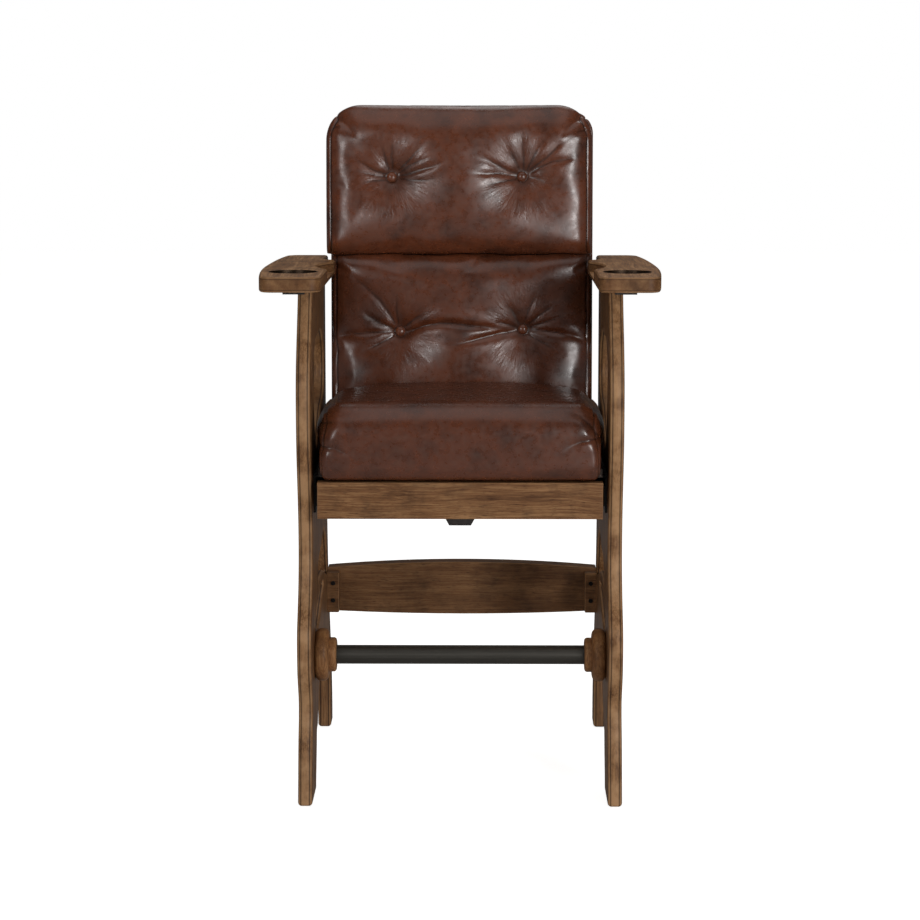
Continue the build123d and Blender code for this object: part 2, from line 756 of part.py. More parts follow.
with BuildPart() as runner_fixed_left:
    mirror(runner_fixed_right.part, about=Plane.YZ)
runner_fixed_left.part.label = "runner_fixed_left"
export_step(runner_fixed_left.part, "parts/runner_fixed_left.step")

with BuildPart() as runner_moving_right:
    moving_section = channel(
        drawer_box_half, drawer_box_half + moving_lip, race_inner, runner_sheet, runner_y + runner_length
    )
    extrude(moving_section, amount=runner_length)
runner_moving_right.part.label = "runner_moving_right"
export_step(runner_moving_right.part, "parts/runner_moving_right.step")

with BuildPart() as runner_moving_left:
    mirror(runner_moving_right.part, about=Plane.YZ)
runner_moving_left.part.label = "runner_moving_left"
export_step(runner_moving_left.part, "parts/runner_moving_left.step")

ball_pitch = cage_length / balls_in_row
with BuildPart() as ball_cage_right:
    cage_section = channel(
        cage_web_x, ball_x - ball_diameter / 2, race_middle + cage_sheet / 2, cage_sheet,
        front_y + cage_front + cage_length,
    )
    extrude(cage_section, amount=cage_length)
    for row in (-1, 1):
        row_z = runner_centre + row * race_middle
        ball_ys = [front_y + cage_front + (count + 0.5) * ball_pitch for count in range(balls_in_row)]
        with Locations(*[(ball_x, y, row_z) for y in ball_ys]):
            Sphere(ball_diameter / 2)
ball_cage_right.part.label = "ball_cage_right"
export_step(ball_cage_right.part, "parts/ball_cage_right.step")

with BuildPart() as ball_cage_left:
    mirror(ball_cage_right.part, about=Plane.YZ)
ball_cage_left.part.label = "ball_cage_left"
export_step(ball_cage_left.part, "parts/ball_cage_left.step")

# Back frame, on planes square to the reclined back
stile_inner_x = board_half - stile_width
stile_rear = board_thickness + stile_depth
stile_height = board_height - board_corner


def back_outline(half, height, corner):
    """The front view outline of the back, round at its two top corners, drawn on the board's front."""
    with BuildSketch(Plane(origin=back_base, x_dir=(1, 0, 0), z_dir=-back_rear)) as section:
        Rectangle(2 * half, height, align=(Align.CENTER, Align.MIN))
        fillet(section.vertices().group_by(Axis.Y)[-1], radius=corner)
    return section.sketch


with BuildPart() as back_board:
    extrude(back_outline(board_half, board_height, board_corner), amount=-board_thickness)
back_board.part.label = "back_board"
export_step(back_board.part, "parts/back_board.step")

with BuildPart() as back_stile_right:
    with BuildSketch(back_plane(0)):
        with Locations((stile_inner_x, board_thickness)):
            Rectangle(stile_width, stile_depth, align=(Align.MIN, Align.MIN))
    extrude(amount=stile_height)
    with BuildSketch(Plane.YZ.offset(board_half)):
        with Locations(*back_bolt_places):
            Circle(bolt_radius + screw_fit)
    extrude(amount=-bolt_grip, mode=Mode.SUBTRACT)
back_stile_right.part.label = "back_stile_right"
export_step(back_stile_right.part, "parts/back_stile_right.step")

with BuildPart() as back_stile_left:
    mirror(back_stile_right.part, about=Plane.YZ)
back_stile_left.part.label = "back_stile_left"
export_step(back_stile_left.part, "parts/back_stile_left.step")

with BuildPart() as back_rails:
    for up in (0, board_height - rail_height):
        with BuildSketch(back_plane(up)):
            with Locations((0, board_thickness)):
                Rectangle(2 * stile_inner_x, stile_depth, align=(Align.CENTER, Align.MIN))
        extrude(amount=rail_height)
back_rails.part.label = "back_rails"
export_step(back_rails.part, "parts/back_rails.step")

cover_inner_half = board_half + soft_gap
cover_rear = stile_rear + soft_gap
with BuildPart() as back_cover:
    cover_height = board_height + soft_gap + cover_thickness
    cover_corner = board_corner + cover_half - board_half
    extrude(back_outline(cover_half, cover_height, cover_corner), amount=-cover_rear - cover_thickness)
    inner_corner = board_corner + soft_gap
    extrude(
        back_outline(cover_inner_half, board_height + soft_gap, inner_corner), amount=-cover_rear, mode=Mode.SUBTRACT
    )
    with BuildSketch(Plane.YZ.offset(-cover_half)):
        with Locations(*back_bolt_places):
            Circle(bolt_radius + bolt_fit)
    extrude(amount=2 * cover_half, mode=Mode.SUBTRACT)
back_cover.part.label = "back_cover"
export_step(back_cover.part, "parts/back_cover.step")


def cushion_section(up, half, side_depth, crown):
    """The plan outline of a back cushion at a height: flat behind, rounded corners and a crowned front."""
    flat = half - cushion_corner
    lean = 2 * math.atan(crown / half)
    side_y = -soft_gap - (side_depth - cushion_corner)
    turn_y = side_y - cushion_corner * math.cos(lean)
    turn_x = flat + cushion_corner * math.sin(lean)
    half_turn = (math.pi / 2 - lean) / 2
    mid_x = flat + cushion_corner * math.cos(half_turn)
    mid_y = side_y - cushion_corner * math.sin(half_turn)
    front_mid_y = turn_y - crown
    with BuildSketch(back_plane(up)) as section:
        with BuildLine():
            Line((-half, -soft_gap), (half, -soft_gap))
            Line((half, -soft_gap), (half, side_y))
            ThreePointArc((half, side_y), (mid_x, mid_y), (turn_x, turn_y))
            ThreePointArc((turn_x, turn_y), (0, front_mid_y), (-turn_x, turn_y))
            ThreePointArc((-turn_x, turn_y), (-mid_x, mid_y), (-half, side_y))
            Line((-half, side_y), (-half, -soft_gap))
        make_face()
    return section.sketch


def cushion_sections(bottom, height, half, station_shares):
    """Plan outlines up a back cushion, drawn in towards both ends by shares of the draw."""
    return [
        cushion_section(
            bottom + along * height,
            half - side_share * cushion_draw,
            cushion_side_depth - front_share * cushion_draw / 4,
            cushion_crown - front_share * cushion_draw / 2,
        )
        for along, side_share, front_share in station_shares
    ]


def tuft_plane(x, up):
    """A plane through a button's axis, with its y axis towards the front of the back."""
    return Plane(origin=back_point(x, 0, up), x_dir=(1, 0, 0), z_dir=-back_up)


def tuft_section(x, up):
    """Half the funnel that a button pulls into the crown, curved from its rim down to the button's seat."""
    crest = cushion_side_depth + cushion_crown
    seat = crest - tuft_depth
    with BuildSketch(tuft_plane(x, up)) as section:
        with BuildLine():
            Polyline(
                (0, crest + cut_overrun), (0, seat), (button_radius, seat),
            )
            ThreePointArc(
                (button_radius, seat),
                (button_radius + (tuft_radius - button_radius) / 3, crest - tuft_depth / 3),
                (tuft_radius, crest),
            )
            Polyline((tuft_radius, crest), (tuft_radius, crest + cut_overrun), (0, crest + cut_overrun))
        make_face()
    return section.sketch


def button_axis(x, up):
    """The line that a button's thread follows through the back."""
    return Axis(back_point(x, 0, up), -back_rear)


lower_station_shares = [
    (0.00, 0.30, 1.00), (0.05, 0.10, 0.45), (0.15, 0.00, 0.10), (0.35, 0.00, 0.00), (0.50, 0.00, 0.00),
    (0.65, 0.00, 0.00), (0.85, 0.00, 0.10), (0.95, 0.10, 0.45), (1.00, 0.30, 1.00),
]
upper_station_shares = [
    (0.00, 0.30, 1.00), (0.05, 0.10, 0.45), (0.15, 0.00, 0.10), (0.35, 0.00, 0.00), (0.50, 0.00, 0.00),
    (0.66, 0.00, 0.00), (0.80, 0.16, 0.15), (0.90, 0.40, 0.50), (0.96, 0.80, 0.85), (1.00, 1.40, 1.20),
]
upper_cushion_bottom = cushion_bottom + lower_cushion_height + crease_gap

with BuildPart() as back_cushion_lower:
    loft(cushion_sections(cushion_bottom, lower_cushion_height, lower_cushion_half, lower_station_shares))
    for x in (-lower_button_x, lower_button_x):
        revolve(tuft_section(x, lower_button_up), axis=button_axis(x, lower_button_up), mode=Mode.SUBTRACT)
back_cushion_lower.part.label = "back_cushion_lower"
export_step(back_cushion_lower.part, "parts/back_cushion_lower.step")

with BuildPart() as back_cushion_upper:
    loft(cushion_sections(upper_cushion_bottom, upper_cushion_height, upper_cushion_half, upper_station_shares))
    for x in (-upper_button_x, upper_button_x):
        revolve(tuft_section(x, upper_button_up), axis=button_axis(x, upper_button_up), mode=Mode.SUBTRACT)
back_cushion_upper.part.label = "back_cushion_upper"
export_step(back_cushion_upper.part, "parts/back_cushion_upper.step")

button_seat = cushion_side_depth + cushion_crown - tuft_depth + soft_gap
button_rim = button_seat + button_height / 3
dome_radius = button_radius - soft_gap
dome_rise = button_height * 2 / 3
dome_ball = (dome_radius ** 2 + dome_rise ** 2) / (2 * dome_rise)
dome_mid = button_rim + dome_rise - dome_ball + math.sqrt(dome_ball ** 2 - dome_radius ** 2 / 4)
with BuildPart() as back_buttons:
    for x, up in ((lower_button_x, lower_button_up), (upper_button_x, upper_button_up)):
        for side in (-1, 1):
            with BuildSketch(tuft_plane(side * x, up)):
                with BuildLine():
                    Polyline((0, button_rim + dome_rise), (0, button_seat), (dome_radius, button_seat), (dome_radius, button_rim))
                    ThreePointArc((dome_radius, button_rim), (dome_radius / 2, dome_mid), (0, button_rim + dome_rise))
                make_face()
            revolve(axis=button_axis(side * x, up))
back_buttons.part.label = "back_buttons"
export_step(back_buttons.part, "parts/back_buttons.step")

# Seat cushion: a loft across the seat through side outlines with a big front roll
def seat_section(x, draw):
    """The side outline of the seat cushion at a place across it, drawn in from the top, front and rear."""
    front_draw, rear_draw, bottom_draw = seat_draw_shares
    front = front_y + seat_front + draw * front_draw
    rear = front_y + seat_rear - draw * rear_draw
    bottom = seat_bottom + draw * bottom_draw
    rise = seat_top - draw - bottom
    roll = [(front + rise * along, bottom + rise * up) for along, up in seat_roll_shares]
    fall = [(rear - rise * along, bottom + rise * up) for along, up in seat_fall_shares]
    crest = ((front + rear) / 2 + rise * seat_crest_shares[0], bottom + rise * seat_crest_shares[1])
    with BuildSketch(Plane.YZ.offset(x)) as section:
        with BuildLine():
            Line((rear, bottom), roll[0])
            ThreePointArc(roll[0], roll[1], roll[2])
            ThreePointArc(roll[2], roll[3], roll[4])
            ThreePointArc(roll[4], crest, fall[0])
            ThreePointArc(fall[0], fall[1], fall[2])
            Line(fall[2], (rear, bottom))
        make_face()
    return section.sketch


seat_station_shares = [
    (-1.00, 1.00), (-0.975, 0.55), (-0.92, 0.24), (-0.83, 0.06), (-0.60, 0.00), (-0.20, 0.00),
    (0.20, 0.00), (0.60, 0.00), (0.83, 0.06), (0.92, 0.24), (0.975, 0.55), (1.00, 1.00),
]
with BuildPart() as seat_cushion:
    loft([seat_section(across * seat_half, draw * seat_side_round) for across, draw in seat_station_shares])
    with Locations((0, front_y + deck_front - soft_gap, seat_bottom - cut_overrun)):
        Box(
            2 * inner_half, deck_rear - deck_front, deck_top + soft_gap - seat_bottom + cut_overrun,
            align=(Align.CENTER, Align.MIN, Align.MIN), mode=Mode.SUBTRACT,
        )
seat_cushion.part.label = "seat_cushion"
export_step(seat_cushion.part, "parts/seat_cushion.step")
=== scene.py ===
import math
import bpy
import numpy as np
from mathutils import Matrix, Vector


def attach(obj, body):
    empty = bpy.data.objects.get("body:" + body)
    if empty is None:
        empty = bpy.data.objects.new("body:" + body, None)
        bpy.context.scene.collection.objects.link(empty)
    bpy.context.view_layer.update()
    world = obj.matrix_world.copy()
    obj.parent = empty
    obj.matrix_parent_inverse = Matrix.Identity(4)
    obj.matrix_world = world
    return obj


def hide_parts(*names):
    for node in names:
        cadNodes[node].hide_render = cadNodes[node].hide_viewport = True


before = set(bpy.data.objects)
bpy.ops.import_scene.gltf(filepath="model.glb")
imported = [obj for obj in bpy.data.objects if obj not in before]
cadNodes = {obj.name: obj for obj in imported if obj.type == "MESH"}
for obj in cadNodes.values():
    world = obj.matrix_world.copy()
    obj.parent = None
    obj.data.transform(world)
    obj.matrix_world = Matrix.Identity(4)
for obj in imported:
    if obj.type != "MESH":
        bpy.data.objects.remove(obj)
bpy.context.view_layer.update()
mm = 0.001
print("frame loaded,", len(cadNodes), "nodes")


def linearHex(text):
    # sRGB hex to the linear values that Blender works in
    parts = [int(text[i:i + 2], 16) / 255 for i in (0, 2, 4)]
    return tuple(c / 12.92 if c <= 0.04045 else ((c + 0.055) / 1.055) ** 2.4 for c in parts) + (1.0,)


def addNode(tree, kind, inputs=None, links=None, stops=None, **settings):
    node = tree.nodes.new(kind)
    for name, value in settings.items():
        setattr(node, name, value)
    for key, value in (inputs or {}).items():
        node.inputs[key].default_value = value
    for key, source in (links or {}).items():
        # a node stands for its first output
        tree.links.new(source.outputs[0] if isinstance(source, bpy.types.Node) else source, node.inputs[key])
    if stops:
        ramp = node.color_ramp.elements
        while len(ramp) < len(stops):
            ramp.new(0.5)
        for element, (place, colour) in zip(ramp, stops):
            element.position = place
            element.color = linearHex(colour) if isinstance(colour, str) else (colour, colour, colour, 1)
    return node


def startMaterial(name):
    material = bpy.data.materials.new(name)
    material.use_nodes = True
    tree = material.node_tree
    tree.nodes.clear()
    skin = addNode(tree, "ShaderNodeBsdfPrincipled")
    addNode(tree, "ShaderNodeOutputMaterial", links={"Surface": skin})
    coords = addNode(tree, "ShaderNodeTexCoord")
    return material, tree, skin, coords


def joinSkin(tree, skin, colour, gloss, bump):
    for name, source in (
            ("Base Color", colour), ("Roughness", gloss.outputs[0]), ("Normal", bump.outputs[0])):
        tree.links.new(source, skin.inputs[name])


def seenRays(tree):
    # the light path, and the share of it that the camera sees, also through glass
    path = addNode(tree, "ShaderNodeLightPath")
    seen = addNode(tree, "ShaderNodeMath", operation="MAXIMUM",
        links={0: path.outputs["Is Camera Ray"], 1: path.outputs["Is Transmission Ray"]})
    return path, seen


def makeReal(piece):
    # the result of the piece's modifiers becomes its mesh
    mesh = bpy.data.meshes.new_from_object(piece.evaluated_get(bpy.context.evaluated_depsgraph_get()))
    piece.modifiers.clear()
    piece.data = mesh
    return mesh


def smoothStep(low, high, value):
    t = np.clip((value - low) / (high - low), 0, 1)
    return t * t * (3 - 2 * t)


def between(pair, share):
    return pair[0] + (pair[1] - pair[0]) * share


# Camera, at the photograph's place and angle
cameraView = {"place": (32.42, -4116.36, 1217.59), "pitch": -6.718, "turn": 0.479, "lens": 90.61,
    "shift": -0.10}
camera = bpy.data.objects.new("camera", bpy.data.cameras.new("camera"))
bpy.context.collection.objects.link(camera)
camera.location = [v * mm for v in cameraView["place"]]
camera.rotation_euler = (math.radians(90 + cameraView["pitch"]), 0, math.radians(cameraView["turn"]))
camera.data.lens = cameraView["lens"]
camera.data.shift_y = cameraView["shift"]
camera.data.clip_start, camera.data.clip_end = 0.1, 60
bpy.context.scene.camera = camera

# Floor, world and lamps
stageLook = {
    "floorColour": "EDECEA", "floorGlow": 0.80, "floorGloss": 0.08, "floorMirror": 0.35,
    "floorDrop": 0.2 * mm, "worldColour": "FFFFFF", "worldLight": 0.24, "worldGloss": 0.06,
    "aim": (0, 0, 0.65),
    "key": {"place": (1.80, -3.3, 1.15), "size": (0.6, 1.3), "power": 56},
    "fill": {"place": (-1.90, -3.2, 1.50), "size": (0.7, 1.2), "power": 25},
    "top": {"place": (0.0, -0.6, 3.3), "size": (3.0, 2.6), "power": 17},
    "rear": {"place": (0.3, 2.3, 3.5), "size": (2.2, 1.6), "power": 16},
}

floorMesh = bpy.data.meshes.new("floor")
floorMesh.from_pydata([(-14, -14, 0), (14, -14, 0), (14, 14, 0), (-14, 14, 0)], [], [(0, 1, 2, 3)])
floor = bpy.data.objects.new("floor", floorMesh)
bpy.context.collection.objects.link(floor)
floor.location.z = -stageLook["floorDrop"]
paper, tree, skin, coords = startMaterial("studio_paper")  # matt white paper that still takes a soft shadow
skin.inputs["Roughness"].default_value = 0.9
skin.inputs["Specular IOR Level"].default_value = 0.0
path, seen = seenRays(tree)
plain = linearHex(stageLook["floorColour"])
dull = [c * stageLook["floorMirror"] for c in plain[:3]] + [1]  # the floor as gloss on the chair shows it
paperColour = addNode(tree, "ShaderNodeMix", data_type="RGBA", inputs={6: plain, 7: dull},
    links={0: path.outputs["Is Glossy Ray"]})
tree.links.new(paperColour.outputs[2], skin.inputs["Base Color"])
glow = addNode(tree, "ShaderNodeMath", operation="MULTIPLY", inputs={1: stageLook["floorGloss"]},
    links={0: path.outputs["Is Glossy Ray"]})
glow = addNode(tree, "ShaderNodeMath", operation="MULTIPLY_ADD", inputs={1: stageLook["floorGlow"]},
    links={0: seen, 2: glow})
skin.inputs["Emission Color"].default_value = (1, 1, 1, 1)
tree.links.new(glow.outputs[0], skin.inputs["Emission Strength"])
floorMesh.materials.append(paper)

world = bpy.data.worlds.new("studio")
bpy.context.scene.world = world
world.use_nodes = True
tree = world.node_tree
tree.nodes.clear()
path, seen = seenRays(tree)
dim = addNode(tree, "ShaderNodeMapRange", inputs={3: stageLook["worldLight"], 4: stageLook["worldGloss"]},
    links={0: path.outputs["Is Glossy Ray"]})
level = addNode(tree, "ShaderNodeMapRange", inputs={4: 1.0}, links={0: seen, 3: dim})
shine = addNode(tree, "ShaderNodeBackground", inputs={"Color": linearHex(stageLook["worldColour"])},
    links={"Strength": level})
addNode(tree, "ShaderNodeOutputWorld", links={"Surface": shine})

for lampName in ("key", "fill", "top", "rear"):
    values = stageLook[lampName]
    lamp = bpy.data.lights.new(lampName, "AREA")
    lamp.shape = "RECTANGLE"
    lamp.size, lamp.size_y = values["size"]
    lamp.energy = values["power"]
    holder = bpy.data.objects.new(lampName, lamp)
    bpy.context.collection.objects.link(holder)
    holder.location = values["place"]
    holder.rotation_euler = (Vector(stageLook["aim"]) - holder.location).to_track_quat("-Z", "Y").to_euler()
bpy.context.scene.view_settings.view_transform = "Standard"
print("camera, floor and lamps set")

# Wood: walnut-stained hardwood, brushed, glazed dark in the pores and rubbed lighter on the edges
walnut = {
    # sizes in mm, with the pores wider than real ones so that they show
    # sway: length and reach of the slow bends; middle: the mean of the grain's noise
    "dark": "29180D", "deep": "472C18", "mid": "694629", "light": "8A6542", "worn": "AD8660",
    "grainWidth": 2.6, "grainLength": 95, "boardWidth": 16, "boardLength": 340,
    "poreWidth": 0.9, "poreLength": 13, "mottle": 46, "sway": (170, 16), "middle": 0.779,
    # the last entry greys the painted sheen of top light on broad faces
    "roughness": (0.40, 0.58), "bump": 0.10, "relief": 0.6, "shine": 0.20, "sheenTint": (1.0, 1.08, 1.16),
}
# the round along a side panel's edge, in mm, and the depths between which its lightening, partly wear and
# partly painted highlight, fades from full to faint
panelBead = {"middle": 266.5, "half": 7.6, "height": 1.6, "line": 2.0, "wornAndLitFrom": -50, "wornAndLitTo": 150}


def glazedWalnut(name, grain, rimAxis=None, tone=1.0, offset=(0, 0, 0), figure=1.9, faceTone=1.0, bead=None):
    # grain is the axis that the fibres follow, and rimAxis the one across the board, whose rounded rims are
    # rubbed; figure is the contrast of the grain, the face tone lightens the board's broad faces, top and
    # underside, as a painted sheen of top light, and bead is how light the round along a side panel's edge is
    # made, as wear and painted highlight
    material, tree, skin, coords = startMaterial(name)
    place = addNode(tree, "ShaderNodeMapping", inputs={"Location": offset},
        links={"Vector": coords.outputs["Object"]})
    sway = addNode(tree, "ShaderNodeTexNoise", inputs={"Scale": 1 / (walnut["sway"][0] * mm), "Detail": 2},
        links={"Vector": place})
    sway = addNode(tree, "ShaderNodeVectorMath", operation="MULTIPLY_ADD",
        inputs={1: (walnut["sway"][1] * mm,) * 3}, links={0: sway.outputs["Color"], 2: place})

    def fibres(wide, long, detail, rough):
        scale = [1 / (wide * mm)] * 3
        scale[grain] = 1 / (long * mm)
        run = addNode(tree, "ShaderNodeVectorMath", operation="MULTIPLY", inputs={1: scale}, links={0: sway})
        return addNode(tree, "ShaderNodeTexNoise", inputs={"Scale": 1, "Detail": detail, "Roughness": rough},
            links={"Vector": run}).outputs["Fac"]

    facing = addNode(tree, "ShaderNodeSeparateXYZ", links={0: coords.outputs["Normal"]})
    endGrain = addNode(tree, "ShaderNodeMath", operation="ABSOLUTE", links={0: facing.outputs[grain]})
    endMix = addNode(tree, "ShaderNodeMapRange", inputs={1: 0.5, 2: 0.95, 4: 0.8}, links={0: endGrain})
    board = fibres(walnut["boardWidth"], walnut["boardLength"], 3, 0.55)
    streak = fibres(walnut["grainWidth"], walnut["grainLength"], 5, 0.65)
    pore = fibres(walnut["poreWidth"], walnut["poreLength"], 2, 0.5)
    both = addNode(tree, "ShaderNodeMath", operation="MULTIPLY_ADD", inputs={1: 0.55},
        links={0: board, 2: streak})
    both = addNode(tree, "ShaderNodeMath", operation="MULTIPLY_ADD",
        inputs={1: figure, 2: 0.5 - walnut["middle"] * figure}, links={0: both})
    both = addNode(tree, "ShaderNodeMix", data_type="FLOAT", links={0: endMix, 2: both, 3: board})
    colour = addNode(tree, "ShaderNodeValToRGB", links={0: both}, stops=[
        (0.10, walnut["deep"]), (0.42, walnut["mid"]), (0.78, walnut["light"])])
    poreMask = addNode(tree, "ShaderNodeMapRange", inputs={1: 0.56, 2: 0.70}, links={0: pore})
    calm = addNode(tree, "ShaderNodeMapRange", inputs={1: 0.5, 2: 0.95, 3: 0.62, 4: 0.10},
        links={0: endGrain})
    poreSoft = addNode(tree, "ShaderNodeMath", operation="MULTIPLY", links={0: poreMask, 1: calm})
    colour = addNode(tree, "ShaderNodeMix", data_type="RGBA", inputs={7: linearHex(walnut["dark"])},
        links={0: poreSoft, 6: colour})
    cloud = addNode(tree, "ShaderNodeTexNoise",
        inputs={"Scale": 1 / (walnut["mottle"] * mm), "Detail": 4, "Roughness": 0.6}, links={"Vector": place})
    smear = addNode(tree, "ShaderNodeMapRange", inputs={1: 0.46, 2: 0.74, 4: 0.50},
        links={0: cloud.outputs["Fac"]})
    colour = addNode(tree, "ShaderNodeMix", data_type="RGBA", inputs={7: linearHex(walnut["dark"])},
        links={0: smear, 6: colour.outputs[2]})
    if rimAxis is not None:
        tilt = addNode(tree, "ShaderNodeMath", operation="ABSOLUTE", links={0: facing.outputs[rimAxis]})
        rub = addNode(tree, "ShaderNodeValToRGB", links={0: tilt}, stops=[
            (0.04, 0.0), (0.38, 0.15), (0.70, 0.85), (0.97, 0.0)])
        patchy = addNode(tree, "ShaderNodeMapRange", inputs={1: 0.35, 2: 0.60, 3: 0.15, 4: 0.75},
            links={0: cloud.outputs["Fac"]})
        rub = addNode(tree, "ShaderNodeMath", operation="MULTIPLY", links={0: rub, 1: patchy})
        colour = addNode(tree, "ShaderNodeMix", data_type="RGBA", inputs={7: linearHex(walnut["worn"])},
            links={0: rub, 6: colour.outputs[2]})
        # a dark line where each rim's round starts: partly glaze, partly painted shade of a quirk groove that
        # the shape lacks
        quirk = addNode(tree, "ShaderNodeValToRGB", links={0: tilt}, stops=[
            (0.03, 0.0), (0.12, 1.0), (0.26, 1.0), (0.42, 0.0)])
        quirk = addNode(tree, "ShaderNodeMath", operation="MULTIPLY", inputs={1: 0.55}, links={0: quirk})
        colour = addNode(tree, "ShaderNodeMix", data_type="RGBA", inputs={7: linearHex(walnut["dark"])},
            links={0: quirk, 6: colour.outputs[2]})
    if bead:
        middle, half, height, line, wornAndLitFrom, wornAndLitTo = (value * mm for value in panelBead.values())
        onEdge = addNode(tree, "ShaderNodeMapRange", inputs={1: 0.35, 2: 0.75, 3: 1.0, 4: 0.0},
            links={0: tilt})
        spot = addNode(tree, "ShaderNodeSeparateXYZ", links={0: coords.outputs["Object"]})
        ahead = addNode(tree, "ShaderNodeMapRange", inputs={1: wornAndLitFrom, 2: wornAndLitTo, 3: 1.0, 4: 0.2},
            links={0: spot.outputs["Y"]})
        across = addNode(tree, "ShaderNodeMath", operation="ABSOLUTE", links={0: spot.outputs[rimAxis]})
        across = addNode(tree, "ShaderNodeMath", operation="SUBTRACT", inputs={1: middle}, links={0: across})
        across = addNode(tree, "ShaderNodeMath", operation="ABSOLUTE", links={0: across})
        # wear and painted highlight: the round is lightened in patches, most at the front of the panel
        wornAndLit = addNode(tree, "ShaderNodeMapRange", inputs={1: 0.36, 2: 0.60, 3: 0.10 * bead, 4: bead},
            links={0: cloud.outputs["Fac"]})
        for part in (onEdge, ahead):
            wornAndLit = addNode(tree, "ShaderNodeMath", operation="MULTIPLY", links={0: wornAndLit, 1: part})
        colour = addNode(tree, "ShaderNodeMix", data_type="RGBA", inputs={7: linearHex(walnut["worn"])},
            links={0: wornAndLit, 6: colour.outputs[2]})
        # two dark lines at the bead's sides: partly glaze, partly painted shade of quirk grooves that the
        # shape lacks
        quirk = addNode(tree, "ShaderNodeMath", operation="SUBTRACT", inputs={1: half}, links={0: across})
        quirk = addNode(tree, "ShaderNodeMath", operation="ABSOLUTE", links={0: quirk})
        quirk = addNode(tree, "ShaderNodeMapRange", interpolation_type="SMOOTHSTEP",
            inputs={2: line, 3: 0.8, 4: 0.0}, links={0: quirk})
        quirk = addNode(tree, "ShaderNodeMath", operation="MULTIPLY", links={0: quirk, 1: onEdge})
        colour = addNode(tree, "ShaderNodeMix", data_type="RGBA", inputs={7: linearHex(walnut["dark"])},
            links={0: quirk, 6: colour.outputs[2]})
    if tone != 1.0:
        colour = addNode(tree, "ShaderNodeMix", data_type="RGBA", blend_type="MULTIPLY",
            inputs={0: 1.0, 7: (tone, tone, tone, 1)}, links={6: colour.outputs[2]})
    # painted sheen: broad faces, top and underside alike, are made lighter and greyer to stand for the top
    # light's sheen
    if faceTone != 1.0:
        flat = addNode(tree, "ShaderNodeMapRange", inputs={1: 0.86, 2: 0.98}, links={0: tilt})
        sheenColour = [faceTone * share for share in walnut["sheenTint"]] + [1]
        colour = addNode(tree, "ShaderNodeMix", data_type="RGBA", blend_type="MULTIPLY", inputs={7: sheenColour},
            links={0: flat, 6: colour.outputs[2]})
    gloss = addNode(tree, "ShaderNodeMapRange",
        inputs={1: 0.3, 2: 0.7, 3: walnut["roughness"][0], 4: walnut["roughness"][1]}, links={0: streak})
    skin.inputs["Specular IOR Level"].default_value = walnut["shine"]
    relief = addNode(tree, "ShaderNodeMath", operation="SUBTRACT", links={0: streak, 1: poreMask})
    bump = addNode(tree, "ShaderNodeBump",
        inputs={"Strength": walnut["bump"], "Distance": walnut["relief"] * mm}, links={"Height": relief})
    if bead:
        share = addNode(tree, "ShaderNodeMath", operation="DIVIDE", inputs={1: half}, links={0: across})
        share = addNode(tree, "ShaderNodeMath", operation="MULTIPLY", links={0: share, 1: share})
        share = addNode(tree, "ShaderNodeMath", operation="SUBTRACT", inputs={0: 1.0}, use_clamp=True,
            links={1: share})
        share = addNode(tree, "ShaderNodeMath", operation="MULTIPLY", links={0: share, 1: onEdge})
        bump = addNode(tree, "ShaderNodeBump", inputs={"Strength": 1.0, "Distance": height},
            links={"Height": share, "Normal": bump})
    joinSkin(tree, skin, colour.outputs[2], gloss, bump)
    return material


# Leather: aniline cowhide, waxed and hand rubbed, with a fine crinkle and painted shade darkening its folds,
# seams and button pits
hide = {  # sizes in mm, with the pebble coarser than a real one so that it shows
    "base": "402114", "red": "5F311C", "dark": "180B07", "rub": "5F3A26", "patch": 85, "pebble": 2.4,
    "crinkle": 11, "roughness": (0.25, 0.38), "coat": 0.18, "coatRoughness": 0.24,
    "bump": 0.06, "relief": 1.6, "pebbleShare": 0.05, "comb": 0.22, "combRelief": 4,
}


